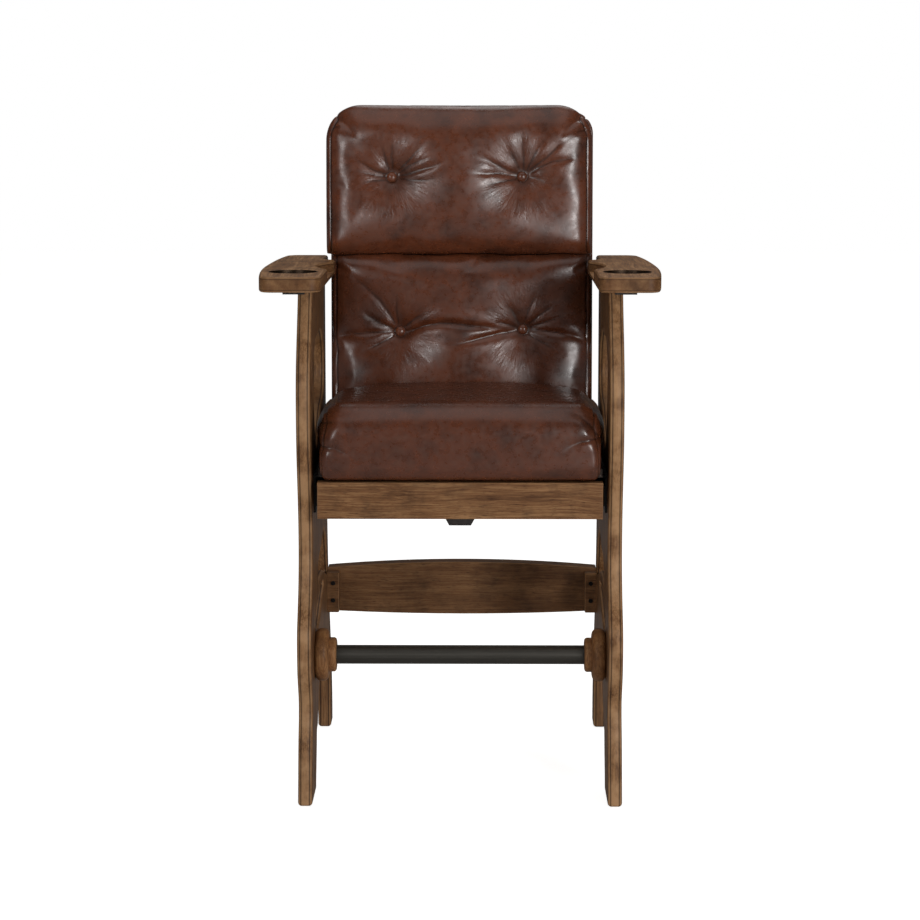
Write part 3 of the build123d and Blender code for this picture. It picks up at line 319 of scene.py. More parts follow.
def waxedHide(name, tone=1.0):
    material, tree, skin, coords = startMaterial(name)
    cloud = addNode(tree, "ShaderNodeTexNoise",
        inputs={"Scale": 1 / (hide["patch"] * mm), "Detail": 4, "Roughness": 0.6},
        links={"Vector": coords.outputs["Object"]})
    colour = addNode(tree, "ShaderNodeValToRGB", links={0: cloud.outputs["Fac"]}, stops=[
        (0.30, hide["base"]), (0.52, hide["red"]), (0.72, hide["base"])])
    fine = addNode(tree, "ShaderNodeTexNoise",
        inputs={"Scale": 1 / (hide["crinkle"] * mm), "Detail": 2, "Roughness": 0.5},
        links={"Vector": coords.outputs["Object"]})
    rub = addNode(tree, "ShaderNodeMapRange", inputs={1: 0.52, 2: 0.74, 4: 0.30},
        links={0: fine.outputs["Fac"]})
    colour = addNode(tree, "ShaderNodeMix", data_type="RGBA", inputs={7: linearHex(hide["rub"])},
        links={0: rub, 6: colour})
    # painted shade: the foldShade attribute darkens the folds, seams and button pits, and the lower back
    # cushion's sides as the arms' shadow
    fold = addNode(tree, "ShaderNodeAttribute", attribute_name="foldShade")
    colour = addNode(tree, "ShaderNodeMix", data_type="RGBA", inputs={7: linearHex(hide["dark"])},
        links={0: fold.outputs["Fac"], 6: colour.outputs[2]})
    if tone != 1.0:
        colour = addNode(tree, "ShaderNodeMix", data_type="RGBA", blend_type="MULTIPLY",
            inputs={0: 1.0, 7: (tone, tone, tone, 1)}, links={6: colour.outputs[2]})
    gloss = addNode(tree, "ShaderNodeMapRange",
        inputs={1: 0.35, 2: 0.65, 3: hide["roughness"][0], 4: hide["roughness"][1]},
        links={0: fine.outputs["Fac"]})
    skin.inputs["Coat Weight"].default_value = hide["coat"]
    skin.inputs["Coat Roughness"].default_value = hide["coatRoughness"]
    pebble = addNode(tree, "ShaderNodeTexVoronoi", inputs={"Scale": 1 / (hide["pebble"] * mm)},
        links={"Vector": coords.outputs["Object"]})
    height = addNode(tree, "ShaderNodeMath", operation="MULTIPLY_ADD", inputs={1: hide["pebbleShare"]},
        links={0: pebble.outputs["Distance"], 2: fine.outputs["Fac"]})
    combPlace = addNode(tree, "ShaderNodeAttribute", attribute_name="combPlace")
    combMask = addNode(tree, "ShaderNodeAttribute", attribute_name="combMask")
    combed = addNode(tree, "ShaderNodeTexNoise", inputs={"Scale": 1, "Detail": 3, "Roughness": 0.6},
        links={"Vector": combPlace.outputs["Vector"]})
    combed = addNode(tree, "ShaderNodeMath", operation="MULTIPLY",
        links={0: combed.outputs["Fac"], 1: combMask.outputs["Fac"]})
    bump = addNode(tree, "ShaderNodeBump", inputs={"Strength": hide["bump"], "Distance": hide["relief"] * mm},
        links={"Height": height})
    bump = addNode(tree, "ShaderNodeBump",
        inputs={"Strength": hide["comb"], "Distance": hide["combRelief"] * mm},
        links={"Height": combed, "Normal": bump})
    joinSkin(tree, skin, colour.outputs[2], gloss, bump)
    return material


# The other finishes: nodes, two colours, metallic, roughness, pattern size in mm, bump
plainFinishes = {
    "gunmetal_steel": (["footrest_bar"],  # tube, satin lacquer, faint long streaks
        "47443F", "504D48", 0.80, (0.40, 0.48), (160, 3, 3), 0.01),
    "bronze_steel": (["cup_insert_left", "cup_insert_right"],  # pressed, plated, soft warm sheen
        "33271D", "4C3B2C", 0.80, (0.32, 0.44), (9, 9, 9), 0.03),
    "black_zinc_steel": (["runner_fixed_left", "runner_fixed_right", "runner_moving_left",
        "runner_moving_right", "ball_cage_left", "ball_cage_right"],  # rolled, dark dull sheen
        "2A2A2B", "45464A", 0.95, (0.30, 0.45), (40, 2, 2), 0.03),
    "black_oxide_steel": (  # dull, near black heads
        ["arm_screws", "plate_screws", "cleat_screws", "deck_screws", "seat_bolts", "back_bolts"],
        "1D1B1A", "2B2826", 0.85, (0.38, 0.50), (2, 2, 2), 0.05),
    "matt_nylon": (["foot_glides", "back_spacers"],  # moulded, no sheen
        "2A1F17", "35291F", 0.0, (0.55, 0.68), (1.5, 1.5, 1.5), 0.10),
    "black_bracket": (  # powder coat, fine orange peel
        ["seat_bracket_left", "seat_bracket_right", "arm_plate_left", "arm_plate_right"],
        "1B1918", "282523", 0.30, (0.50, 0.62), (1.2, 1.2, 1.2), 0.12),
    "dark_pull": (["drawer_pull"],  # cast, dark bronze lacquer, low sheen
        "1A1513", "2A2320", 0.20, (0.38, 0.50), (4, 4, 4), 0.05),
    "stained_ply": (  # birch, stained dark walnut
        ["seat_deck", "back_board", "back_stile_left", "back_stile_right", "back_rails"],
        "2A1D14", "3B2A1D", 0.0, (0.60, 0.75), (3, 60, 60), 0.08),
    "birch_ply": (  # sanded, lacquered, pale
        ["drawer_side_left", "drawer_side_right", "drawer_back", "drawer_bottom"],
        "A78457", "C3A277", 0.0, (0.55, 0.70), (3, 60, 60), 0.08),
}


def plainFinish(name, low, high, metallic, roughness, size, relief):
    material, tree, skin, coords = startMaterial(name)
    run = addNode(tree, "ShaderNodeVectorMath", operation="MULTIPLY",
        inputs={1: [1 / (s * mm) for s in size]}, links={0: coords.outputs["Object"]})
    grit = addNode(tree, "ShaderNodeTexNoise", inputs={"Scale": 1, "Detail": 4, "Roughness": 0.6},
        links={"Vector": run})
    colour = addNode(tree, "ShaderNodeValToRGB", links={0: grit.outputs["Fac"]},
        stops=[(0.32, low), (0.68, high)])
    gloss = addNode(tree, "ShaderNodeMapRange", inputs={1: 0.3, 2: 0.7, 3: roughness[0], 4: roughness[1]},
        links={0: grit.outputs["Fac"]})
    skin.inputs["Metallic"].default_value = metallic
    bump = addNode(tree, "ShaderNodeBump", inputs={"Strength": relief, "Distance": 0.5 * mm},
        links={"Height": grit.outputs["Fac"]})
    joinSkin(tree, skin, colour.outputs[0], gloss, bump)
    return material


def dress(nodeNames, material):
    for name in nodeNames:
        node = cadNodes[name]
        if not node.material_slots:
            node.data.materials.append(material)
        for slot in node.material_slots:
            slot.material = material


# the arms' broad faces get a painted sheen of top light, much lighter than their sides
armLook = {"tone": 0.94, "figure": 1.4, "faceTone": 2.3}
woodOf = {  # nodes, fibre axis, rim axis and the rest of the look
    "walnut_panel_left": (["side_panel_left"], 2, 0, {"offset": (0.4, 0.1, 0.2), "bead": 0.72}),
    "walnut_panel_right": (["side_panel_right"], 2, 0, {"offset": (0.9, 0.6, 0.1), "bead": 0.80}),
    "walnut_arm_left": (["arm_left"], 1, 2, {"offset": (0.3, 0.2, 0.5), **armLook}),
    "walnut_arm_right": (["arm_right"], 1, 2, {"offset": (0.7, 0.9, 0.3), **armLook}),
    "walnut_drawer": (["drawer_front"], 0, 1, {"offset": (0.15, 0.3, 0.6), "tone": 1.06, "figure": 1.5}),
    "walnut_stretcher": (["stretcher", "cleat_left", "cleat_right"], 0, 1, {"tone": 0.92, "figure": 1.0}),
    "walnut_turned": (["hub_left", "hub_right"], 2, None,
        {"offset": (0.2, 0.8, 0.7), "tone": 1.55, "figure": 1.2}),
}
for finish, (names, grain, rimAxis, look) in woodOf.items():
    dress(names, glazedWalnut(finish, grain, rimAxis, **look))
for finish, (names, *look) in plainFinishes.items():
    dress(names, plainFinish(finish, *look))
leather = waxedHide("waxed_cowhide")
seatLeather = waxedHide("waxed_cowhide_seat", 0.80)
print("materials made")

# Where the reclined back stands
backPlace = {"recline": 2.5, "base": (0, 132, 582.9576)}
lean = math.radians(backPlace["recline"])
upAxis = np.array([0, math.sin(lean), math.cos(lean)])
outAxis = np.array([0, -math.cos(lean), math.sin(lean)])


def fromBack(points):
    # millimetres across, up and out of the back, to metres in the scene
    points = np.asarray(points, float)
    across, up, out = points[:, :1], points[:, 1:2], points[:, 2:3]
    return (np.array(backPlace["base"]) + across * [1, 0, 0] + up * upAxis + out * outAxis) * mm


def boxLattice(counts):
    # the points of a lattice on a box's surface, from 0 to 1 along each axis, and the quads between them
    index, points, quads = {}, [], []
    for axis in range(3):
        a, b = [n for n in range(3) if n != axis]
        for side in (0, counts[axis]):
            for i in range(counts[a]):
                for j in range(counts[b]):
                    corners = []
                    for di, dj in ((0, 0), (1, 0), (1, 1), (0, 1)):
                        key = [0, 0, 0]
                        key[axis], key[a], key[b] = side, i + di, j + dj
                        key = tuple(key)
                        if key not in index:
                            index[key] = len(points)
                            points.append([key[n] / counts[n] for n in range(3)])
                        corners.append(index[key])
                    quads.append(corners[::-1] if (side == 0) != (axis == 1) else corners)
    return np.array(points), quads


def roundedBox(raw, low, high, softs):
    # softs gives, for each axis, the rounding at its low and its high end, as numbers or arrays
    edge = np.zeros_like(raw)
    inner = raw.copy()
    reach = np.zeros_like(raw)
    for n in range(3):
        nearLow, nearHigh = softs[n]
        below = np.maximum(0, low[n] + nearLow - raw[:, n]) / nearLow
        above = np.maximum(0, raw[:, n] - high[n] + nearHigh) / nearHigh
        edge[:, n] = above - below
        inner[:, n] = np.where(above > 0, high[n] - nearHigh,
            np.where(below > 0, low[n] + nearLow, raw[:, n]))
        reach[:, n] = np.where(above > 0, nearHigh, nearLow)
    size = np.linalg.norm(edge, axis=1)
    most = np.abs(edge).max(axis=1)
    scale = np.where(size > 0, most / np.maximum(size, 1e-9), 1)
    return inner + edge * reach * scale[:, None], edge


foldForm = {  # shares along a fold where it starts and ends; roll and line as shares of its width
    "start": (-0.05, 0.10), "end": (0.45, 1.0), "ended": 0.9, "rollPlace": 2.4, "rollWidth": 1.5,
    "rollAbove": 0.26, "rollBelow": 0.12, "line": 0.55,
}
foldDrawn = {"soft": (0.8, 1, 3), "backLine": (0.30, 0.85, 0), "seatLine": (0.5, 0.8, 0)}


def foldField(places, folds, drawn):
    # how far folds sink and how dark they are, at places given by two coordinates; drawn gives the share of
    # their depth, the share of their width and what is added to it
    v = foldForm
    sink, shade = np.zeros(len(places)), np.zeros(len(places))
    for points, depth, width in folds:
        depth, width = depth * drawn[0], width * drawn[1] + drawn[2]
        points = np.array(points, float)
        steps = np.linalg.norm(np.diff(points, axis=0), axis=1)
        run = np.concatenate([[0], np.cumsum(steps)])
        best, along = np.full(len(places), 1e9), np.zeros(len(places))
        side = np.zeros(len(places))
        for n in range(len(points) - 1):
            way = points[n + 1] - points[n]
            t = np.clip((places - points[n]) @ way / (way @ way), 0, 1)
            gap = places - points[n] - t[:, None] * way
            far = np.linalg.norm(gap, axis=1)
            near = far < best
            best = np.where(near, far, best)
            along = np.where(near, (run[n] + t * steps[n]) / run[-1], along)
            side = np.where(near, np.sign(way[0] * gap[:, 1] - way[1] * gap[:, 0]), side)
        fade = smoothStep(*v["start"], along) * (1 - smoothStep(*v["end"], along) * v["ended"])
        # a sharp line with a soft roll on each side, fuller above the line than below
        valley = np.exp(-(best / width) ** 2)
        roll = np.exp(-((best - v["rollPlace"] * width) / (v["rollWidth"] * width)) ** 2)
        sink += fade * depth * (valley - np.where(side > 0, v["rollAbove"], v["rollBelow"]) * roll)
        shade = np.maximum(shade, fade * np.exp(-(best / (v["line"] * width)) ** 2))
    return sink, shade


def meshPiece(name, points, faces, material):
    mesh = bpy.data.meshes.new(name)
    mesh.from_pydata([tuple(p) for p in points], [], faces)
    mesh.polygons.foreach_set("use_smooth", [True] * len(mesh.polygons))
    mesh.materials.append(material)
    mesh.update()
    piece = bpy.data.objects.new(name, mesh)
    bpy.context.collection.objects.link(piece)
    return piece


def readSpots(mesh):
    spots = np.empty(len(mesh.vertices) * 3)
    mesh.vertices.foreach_get("co", spots)
    return spots.reshape(-1, 3)


# Hide settling: the covers swell under pressure from a smaller form, held where they are sewn or rest
settling = {"pressure": 5.0, "frames": 20, "stiff": 40, "bend": 4.0, "mass": 0.4, "damping": 8, "quality": 6}


def settleHide(piece, held, growth, cap):
    # lets the cover fill out as cloth, and gives back where its points end, moved no further than the cap
    before = readSpots(piece.data)
    group = piece.vertex_groups.new(name="held")
    group.add([int(n) for n in np.nonzero(held)[0]], 1.0, "REPLACE")
    cloth = piece.modifiers.new("settle", "CLOTH")
    cloth.point_cache.frame_start, cloth.point_cache.frame_end = 1, settling["frames"]
    values = cloth.settings
    values.quality = settling["quality"]
    values.mass = settling["mass"]
    values.use_pressure = True
    values.uniform_pressure_force = settling["pressure"]
    values.vertex_group_mass = group.name
    values.shrink_min = -growth
    values.tension_stiffness = values.compression_stiffness = settling["stiff"]
    values.shear_stiffness = settling["stiff"] / 2
    values.bending_stiffness = settling["bend"]
    values.tension_damping = values.compression_damping = values.shear_damping = settling["damping"]
    values.effector_weights.gravity = 0
    cloth.collision_settings.use_collision = False
    for step in range(1, settling["frames"] + 1):
        bpy.context.scene.frame_set(step)
    settled = piece.evaluated_get(bpy.context.evaluated_depsgraph_get())
    move = readSpots(settled.data) - before
    bpy.context.scene.frame_set(1)
    piece.modifiers.remove(cloth)
    piece.vertex_groups.remove(group)
    far = np.linalg.norm(move, axis=1, keepdims=True)
    return before + move * np.minimum(1, cap * mm / np.maximum(far, 1e-9))


def storeValues(mesh, name, values):
    kind = "FLOAT" if values.ndim == 1 else "FLOAT_VECTOR"
    layer = mesh.attributes.get(name) or mesh.attributes.new(name, kind, "POINT")
    layer.data.foreach_set("value" if values.ndim == 1 else "vector", values.astype(np.float32).ravel())


def readValues(mesh, name):
    values = np.empty(len(mesh.vertices), np.float32)
    mesh.attributes[name].data.foreach_get("value", values)
    return values.astype(float)


def finerMesh(piece):
    # one subdivision, made real, with its attributes carried along
    finer = piece.modifiers.new("finer", "SUBSURF")
    finer.levels = finer.render_levels = 1
    mesh = makeReal(piece)
    mesh.polygons.foreach_set("use_smooth", [True] * len(mesh.polygons))
    return mesh, readSpots(mesh)


def roundCorners(form, half, top, radius):
    # rounds the two upper corners of a form in its front view
    a = np.maximum(0, np.abs(form[:, 0]) - half + radius) / radius
    b = np.maximum(0, form[:, 1] - top + radius) / radius
    both = (a > 0) & (b > 0)
    scale = np.where(both, np.maximum(a, b) / np.maximum(np.hypot(a, b), 1e-9), 1)
    form[:, 0] = np.where(both, np.sign(form[:, 0]) * (half - radius + a * scale * radius), form[:, 0])
    form[:, 1] = np.where(both, top - radius + b * scale * radius, form[:, 1])


# Back cushions: box cushions with side gussets, tufted by two buttons each
crease = {"up": 344.7, "gap": 0.5, "waves": ((1.5, 160, 0.6), (0.8, 61, 2.1))}
backForm = {  # shared by both; each rounding grows from its first value at the rear to its second in front
    "rear": 0.3, "depth": 43, "crown": 26, "powers": (2.6, 3.2, 0.8), "front": (0.15, 0.75),
    "face": (0.35, 0.95), "sideRound": (6, 26), "frontRound": (5, 30), "lowRound": (6, 30), "step": 5,
    "layers": 10, "heldBelow": 3, "cap": 20, "tuftFlat": 7, "underButton": 8, "buttonShade": 10,
    "foldShade": 0.75, "armShadowFrom": 0.40,
}
backCushions = {
    "back_cushion_upper": {  # tuft: depth, spread, bowl and the bowl's reach; the side pair: how dark the painted shadow of the arms is at the left and right
        "half": 243, "bottom": 341, "top": 617, "topRound": (8, 60), "corner": 64, "shift": -5,
        "buttons": [(-122, 485), (115, 486)], "tuft": (8, 16, 14, 72), "growth": 0.001, "armShadow": (0.0, 0.0),
    },
    "back_cushion_lower": {
        "half": 238, "bottom": 31, "top": 349, "topRound": (8, 26), "corner": 6, "shift": 0,
        "buttons": [(-112, 204), (112, 208)], "tuft": (8, 16, 15, 76), "growth": 0.003,
        "armShadow": (0.26, 0.55),
    },
}
# each fold: its points across and up the back, from the button outwards, then how deep and how wide it is
backFolds = {
    "back_cushion_upper": [
        ([(-132, 489), (-157, 496), (-175, 507), (-197, 521)], 3.0, 3.4),
        ([(-134, 485), (-154, 488), (-174, 492), (-192, 498)], 2.4, 3.0),
        ([(-134, 480), (-160, 478), (-187, 474)], 1.6, 3.4),
        ([(-131, 496), (-139, 521), (-147, 550)], 2.2, 3.6),
        ([(-125, 497), (-127, 524), (-124, 554)], 2.2, 3.6),
        ([(-117, 495), (-97, 514), (-82, 530), (-64, 547)], 2.4, 3.8),
        ([(-114, 489), (-98, 490), (-77, 497), (-51, 504), (-24, 516)], 3.4, 3.2),
        ([(-114, 483), (-91, 479), (-64, 479), (-41, 484)], 1.8, 3.4),
        ([(-116, 491), (-94, 506), (-71, 516), (-51, 522)], 2.4, 3.2),
        ([(121, 491), (140, 502), (165, 513), (192, 517), (218, 522)], 4.4, 3.2),
        ([(122, 486), (140, 482), (160, 472)], 2.6, 3.0),
        ([(113, 497), (112, 530), (109, 564)], 2.2, 3.2),
        ([(118, 496), (132, 524), (143, 544), (153, 555)], 2.4, 3.2),
        ([(107, 496), (94, 521), (84, 544)], 2.0, 3.6),
        ([(104, 490), (79, 499), (52, 514), (26, 521)], 2.8, 3.4),
        ([(103, 486), (72, 492), (42, 491), (12, 492)], 2.8, 3.2),
        ([(104, 482), (72, 477), (35, 467)], 1.6, 3.8),
        ([(123, 497), (155, 521), (178, 544), (202, 560)], 2.0, 3.6),
        ([(-246, 566), (-234, 575), (-216, 578)], 4.5, 4.0),
        ([(246, 566), (228, 571), (204, 565)], 4.5, 3.6),
        ([(244, 590), (228, 597), (212, 600)], 3.6, 3.6),
    ],
    "back_cushion_lower": [
        ([(-119, 214), (-133, 240), (-150, 263), (-173, 284), (-197, 304), (-220, 324)], 2.2, 4.4),
        ([(-122, 204), (-150, 203), (-180, 201), (-206, 198), (-238, 195)], 3.8, 3.0),
        ([(-120, 198), (-140, 187), (-163, 175), (-187, 163)], 3.2, 3.2),
        ([(-114, 214), (-119, 246), (-117, 276)], 2.2, 3.6),
        ([(-104, 212), (-84, 228), (-64, 240)], 2.4, 4.0),
        ([(-121, 208), (-147, 218), (-170, 233), (-185, 250)], 2.4, 3.2),
        ([(-103, 201), (-87, 207), (-67, 215), (-37, 220), (-11, 219), (19, 215), (45, 213), (72, 211),
            (100, 209)], 5.5, 3.6),
        ([(102, 205), (69, 201), (42, 194), (16, 187), (-11, 181), (-34, 179)], 4.6, 3.2),
        ([(121, 207), (148, 206), (175, 202), (201, 197), (232, 189)], 4.2, 3.0),
        ([(119, 201), (141, 188), (165, 175), (186, 163)], 3.2, 3.0),
        ([(114, 218), (123, 246), (133, 266), (145, 286)], 2.4, 3.4),
        ([(119, 214), (141, 233), (165, 250), (191, 262)], 2.4, 3.4),
        ([(121, 210), (148, 220), (175, 229), (203, 235)], 2.6, 3.0),
        ([(106, 216), (92, 243), (75, 258)], 2.2, 3.8),
        ([(103, 211), (79, 219), (55, 224)], 2.2, 3.4),
        ([(-244, 338), (-228, 324), (-208, 312)], 3.2, 4.0),
        ([(244, 338), (222, 323), (200, 316)], 3.2, 4.0),
    ],
}
filling = [  # slow swells of the filling: height, lengths across and up, start
    (0.9, 190, 150, 0.4), (0.55, 118, -205, 2.3), (0.28, -86, 72, 4.1),
]
backSeam = {
    "depth": 2.6, "width": 2.2, "ridge": 0.4, "ridgePlace": 5.5, "ridgeWidth": 2.4, "line": 1.5, "dark": 0.85,
    "across": 0.6, "out": 0.8,
}
seamAngle = 48  # degrees round the edge, from the gusset towards the face, where the two are sewn
seamFar = 40  # mm; no seam is felt farther off than this
buttonDepth = 44.5  # how far out of the back the hide is held under each button
comb = {"turns": 11, "run": 20, "inner": 12, "full": 26, "fadeFrom": 0.55, "outer": 96}


def backCushionShape(raw, v):
    half, bottom, top, depth = (v[k] for k in ("half", "bottom", "top", "depth"))
    front = smoothStep(*v["front"], raw[:, 2] / depth)
    side, low, high = (between(v[k], front) for k in ("sideRound", "lowRound", "topRound"))
    softs = [(side, side), (low, high), v["frontRound"]]
    form, edge = roundedBox(raw, (-half, bottom, v["rear"]), (half, top, depth), softs)
    across = np.clip(np.abs(form[:, 0]) / half, 0, 1)
    along = np.clip((form[:, 1] - bottom) / (top - bottom), 0, 1)
    wide, tall, full = v["powers"]
    lift = (1 - across ** wide) * (1 - np.abs(2 * along - 1) ** tall) ** full
    form[:, 2] += v["crown"] * lift * front
    roundCorners(form, half, top, v["corner"])
    return form, edge


def seamGap(edge, radius):
    # how far a place lies from the seam between gusset and face, in mm round the edge
    angle = np.degrees(np.arctan2(np.hypot(edge[:, 1], edge[:, 2]), np.abs(edge[:, 0]) + 1e-9))
    gap = np.radians(angle - seamAngle) * radius
    return np.where(np.abs(edge[:, 0]) > 0.15, np.clip(gap, -seamFar, seamFar), seamFar)


def seamPinch(gap, seam):
    # how far a seam draws the hide in, with a low ridge at each side of it
    valley = seam["depth"] * np.exp(-(gap / seam["width"]) ** 2)
    return valley - seam["ridge"] * np.exp(-((np.abs(gap) - seam["ridgePlace"]) / seam["ridgeWidth"]) ** 2)


# painted shade along a seam's line
def seamShade(gap, seam):
    return seam["dark"] * np.exp(-(gap / seam["line"]) ** 2)


def creaseLine(across):
    waves = (depth * np.sin(2 * math.pi * across / length + start)
        for depth, length, start in crease["waves"])
    return crease["up"] + sum(waves)


def toBack(spots):
    # metres in the scene to millimetres across, up and out of the back
    away = spots / mm - np.array(backPlace["base"])
    return np.column_stack([away[:, 0], away @ upAxis, away @ outAxis])


def makeBackCushion(name, v):
    width, height = 2 * v["half"], v["top"] - v["bottom"]
    lattice, quads = boxLattice([round(width / v["step"]), round(height / v["step"]), v["layers"]])
    raw = np.column_stack([
        (lattice[:, 0] - 0.5) * width,
        v["bottom"] + lattice[:, 1] * height,
        between((v["rear"], v["depth"]), lattice[:, 2]),
    ])
    form, edge = backCushionShape(raw, v)
    frontness = smoothStep(*v["face"], form[:, 2] / v["depth"])
    for swell, wide, long, start in filling:
        form[:, 2] += swell * frontness * np.sin(
            2 * math.pi * (form[:, 0] / wide + form[:, 1] / long) + start)
    held = form[:, 2] < v["heldBelow"]
    depth, spread, bowl, reach = v["tuft"]
    for x, up in v["buttons"]:
        far = np.hypot(form[:, 0] - x, form[:, 1] - up)
        pulled = (depth * np.exp(-np.maximum(far - v["tuftFlat"], 0) / spread)
            + bowl * np.exp(-(far / reach) ** 2))
        form[:, 2] -= pulled * frontness
        under = (far < v["underButton"]) & (frontness > 0.9)
        form[under, 2] = buttonDepth
        held |= under
    sink = foldField(form[:, :2], backFolds[name], foldDrawn["soft"])[0]
    form[~held, 2] -= (sink * frontness)[~held]
    form[:, 0] += v["shift"]
    piece = meshPiece(name + "_hide", fromBack(form), quads, leather)
    spots = settleHide(piece, held, v["growth"], v["cap"])
    piece.data.vertices.foreach_set("co", spots.ravel())
    storeValues(piece.data, "seamGap", seamGap(edge, v["sideRound"][1]))
    mesh, spots = finerMesh(piece)
    form = toBack(spots)
    frontness = smoothStep(*v["face"], form[:, 2] / v["depth"])
    # sharp lines in the folds, the seams, and a comb of fine creases that run to each button
    sink, lines = foldField(form[:, :2], backFolds[name], foldDrawn["backLine"])
    form[:, 2] -= sink * frontness
    gap = readValues(mesh, "seamGap")
    pinch = seamPinch(gap, backSeam)
    form[:, 0] -= np.sign(form[:, 0]) * pinch * backSeam["across"]
    form[:, 2] -= pinch * backSeam["out"]
    # the two cushions press on each other along one wavy line
    line = creaseLine(form[:, 0])
    if name.endswith("upper"):
        form[:, 1] = np.maximum(form[:, 1], line + crease["gap"])
    else:
        form[:, 1] = np.minimum(form[:, 1], line - crease["gap"])
    form[:, 2] = np.maximum(form[:, 2], v["rear"])
    # painted shade: darker along the seams, in the pit round each button and along the fold lines
    shade = seamShade(gap, backSeam)
    combed = np.zeros((len(form), 3))
    mask = np.zeros(len(form))
    for x, up in v["buttons"]:
        dx, dy = form[:, 0] - x - v["shift"], form[:, 1] - up
        far = np.hypot(dx, dy)
        faded = smoothStep(comb["fadeFrom"], 1.0, far / comb["outer"])
        near = smoothStep(comb["inner"], comb["full"], far) * (1 - faded) * frontness
        own = near > mask
        turns = comb["turns"] / np.maximum(far, 1)
        turn = np.column_stack([dx * turns, dy * turns, far / comb["run"] + x])
        combed[own] = turn[own]
        mask = np.maximum(mask, near)
        shade = np.maximum(shade, np.exp(-(far / v["buttonShade"]) ** 2) * frontness)
    shade = np.maximum(shade, lines * frontness * v["foldShade"])
    # painted shadow of the arms: the lower hide is darker towards its sides, most on the right
    sideShare = smoothStep(v["armShadowFrom"], 1.0, np.abs(form[:, 0]) / v["half"])
    shade = np.maximum(shade, np.where(form[:, 0] < 0, *v["armShadow"]) * sideShare)
    mesh.vertices.foreach_set("co", fromBack(form).ravel())
    storeValues(mesh, "foldShade", np.clip(shade, 0, 1))
    storeValues(mesh, "combPlace", combed)
    storeValues(mesh, "combMask", mask)
    mesh.update()
    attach(piece, "frame")
    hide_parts(name)


for cushionName, cushionValues in backCushions.items():
    makeBackCushion(cushionName, {**backForm, **cushionValues})
print("back cushions made")

# Seat cushion: one deep box cushion with a full front roll and side gussets
seatCushion = {
    "half": 240, "front": -244, "rear": 62, "bottom": 565.4, "top": 700, "lattice": (90, 58, 25),
    "sideRound": (12, 34), "frontRound": (27, 58), "rearRound": (5, 26), "lowRound": (5, 28),
    "topRound": (46, 58), "rise": 3, "droop": 5, "shoulder": 15, "pull": 7,
    "rebateFront": -190.5, "rebateTop": 581.3, "rearmost": 64,
    "bulge": 10, "bulgeHeight": 642, "bulgeReach": 34, "bulgeStart": (-215, -120), "widest": 251.5,
    "upper": (0.25, 0.8), "nose": (0.12, 0.5), "back": (0.25, 0.9), "noseEnd": (-200, -120),
    "foldShade": 0.7, "foldAcross": 0.4,
}
seatSeam = {
    "depth": 2.4, "width": 2.4, "ridge": 0.8, "ridgePlace": 6, "ridgeWidth": 2.6, "line": 1.8, "dark": 0.8,
    "radius": 40,
}
seatFolds = [  # points in x, z, seen from the front
    ([(-246, 625), (-228, 624), (-212, 623), (-198, 616), (-182, 609)], 3.6, 3.2),
    ([(-240, 660), (-223, 665), (-205, 667)], 2.6, 3.6),
    ([(246, 638), (226, 638), (205, 635), (190, 629), (172, 620)], 3.2, 3.2),
    ([(236, 640), (223, 658), (206, 675), (184, 684)], 2.0, 4.2),
]


def seatShape(raw):
    v = seatCushion
    depthShare = np.clip((raw[:, 1] - v["front"]) / (v["rear"] - v["front"]), 0, 1)
    highShare = np.clip((raw[:, 2] - v["bottom"]) / (v["top"] - v["bottom"]), 0, 1)
    upper = smoothStep(*v["upper"], highShare)
    ahead = 1 - smoothStep(*v["nose"], depthShare)
    side, nose, tail = (between(v[k], upper) for k in ("sideRound", "frontRound", "rearRound"))
    low, high = (between(v[k], ahead) for k in ("lowRound", "topRound"))
    softs = [(side, side), (nose, tail), (low, high)]
    form, edge = roundedBox(raw,
        (-v["half"], v["front"], v["bottom"]), (v["half"], v["rear"], v["top"]), softs)
    along = np.clip((form[:, 1] - v["front"]) / (v["rear"] - v["front"]), 0, 1)
    across = np.clip(np.abs(form[:, 0]) / v["half"], 0, 1)
    crown = np.clip(edge[:, 2], 0, 1)
    rear = smoothStep(*v["back"], along)
    form[:, 2] += v["rise"] * crown * rear
    form[:, 2] -= crown * (v["droop"] * across ** 2 + v["shoulder"] * rear * across ** 4)
    form[:, 1] += v["pull"] * np.clip(-edge[:, 1], 0, 1) * across ** 3
    # behind the front the sides swell until they nearly touch the panels
    swell = v["bulge"] * np.exp(-((form[:, 2] - v["bulgeHeight"]) / v["bulgeReach"]) ** 2)
    swell = swell * smoothStep(*v["bulgeStart"], form[:, 1])
    form[:, 0] += np.sign(form[:, 0]) * swell * np.clip(np.abs(edge[:, 0]), 0, 1)
    return form, edge


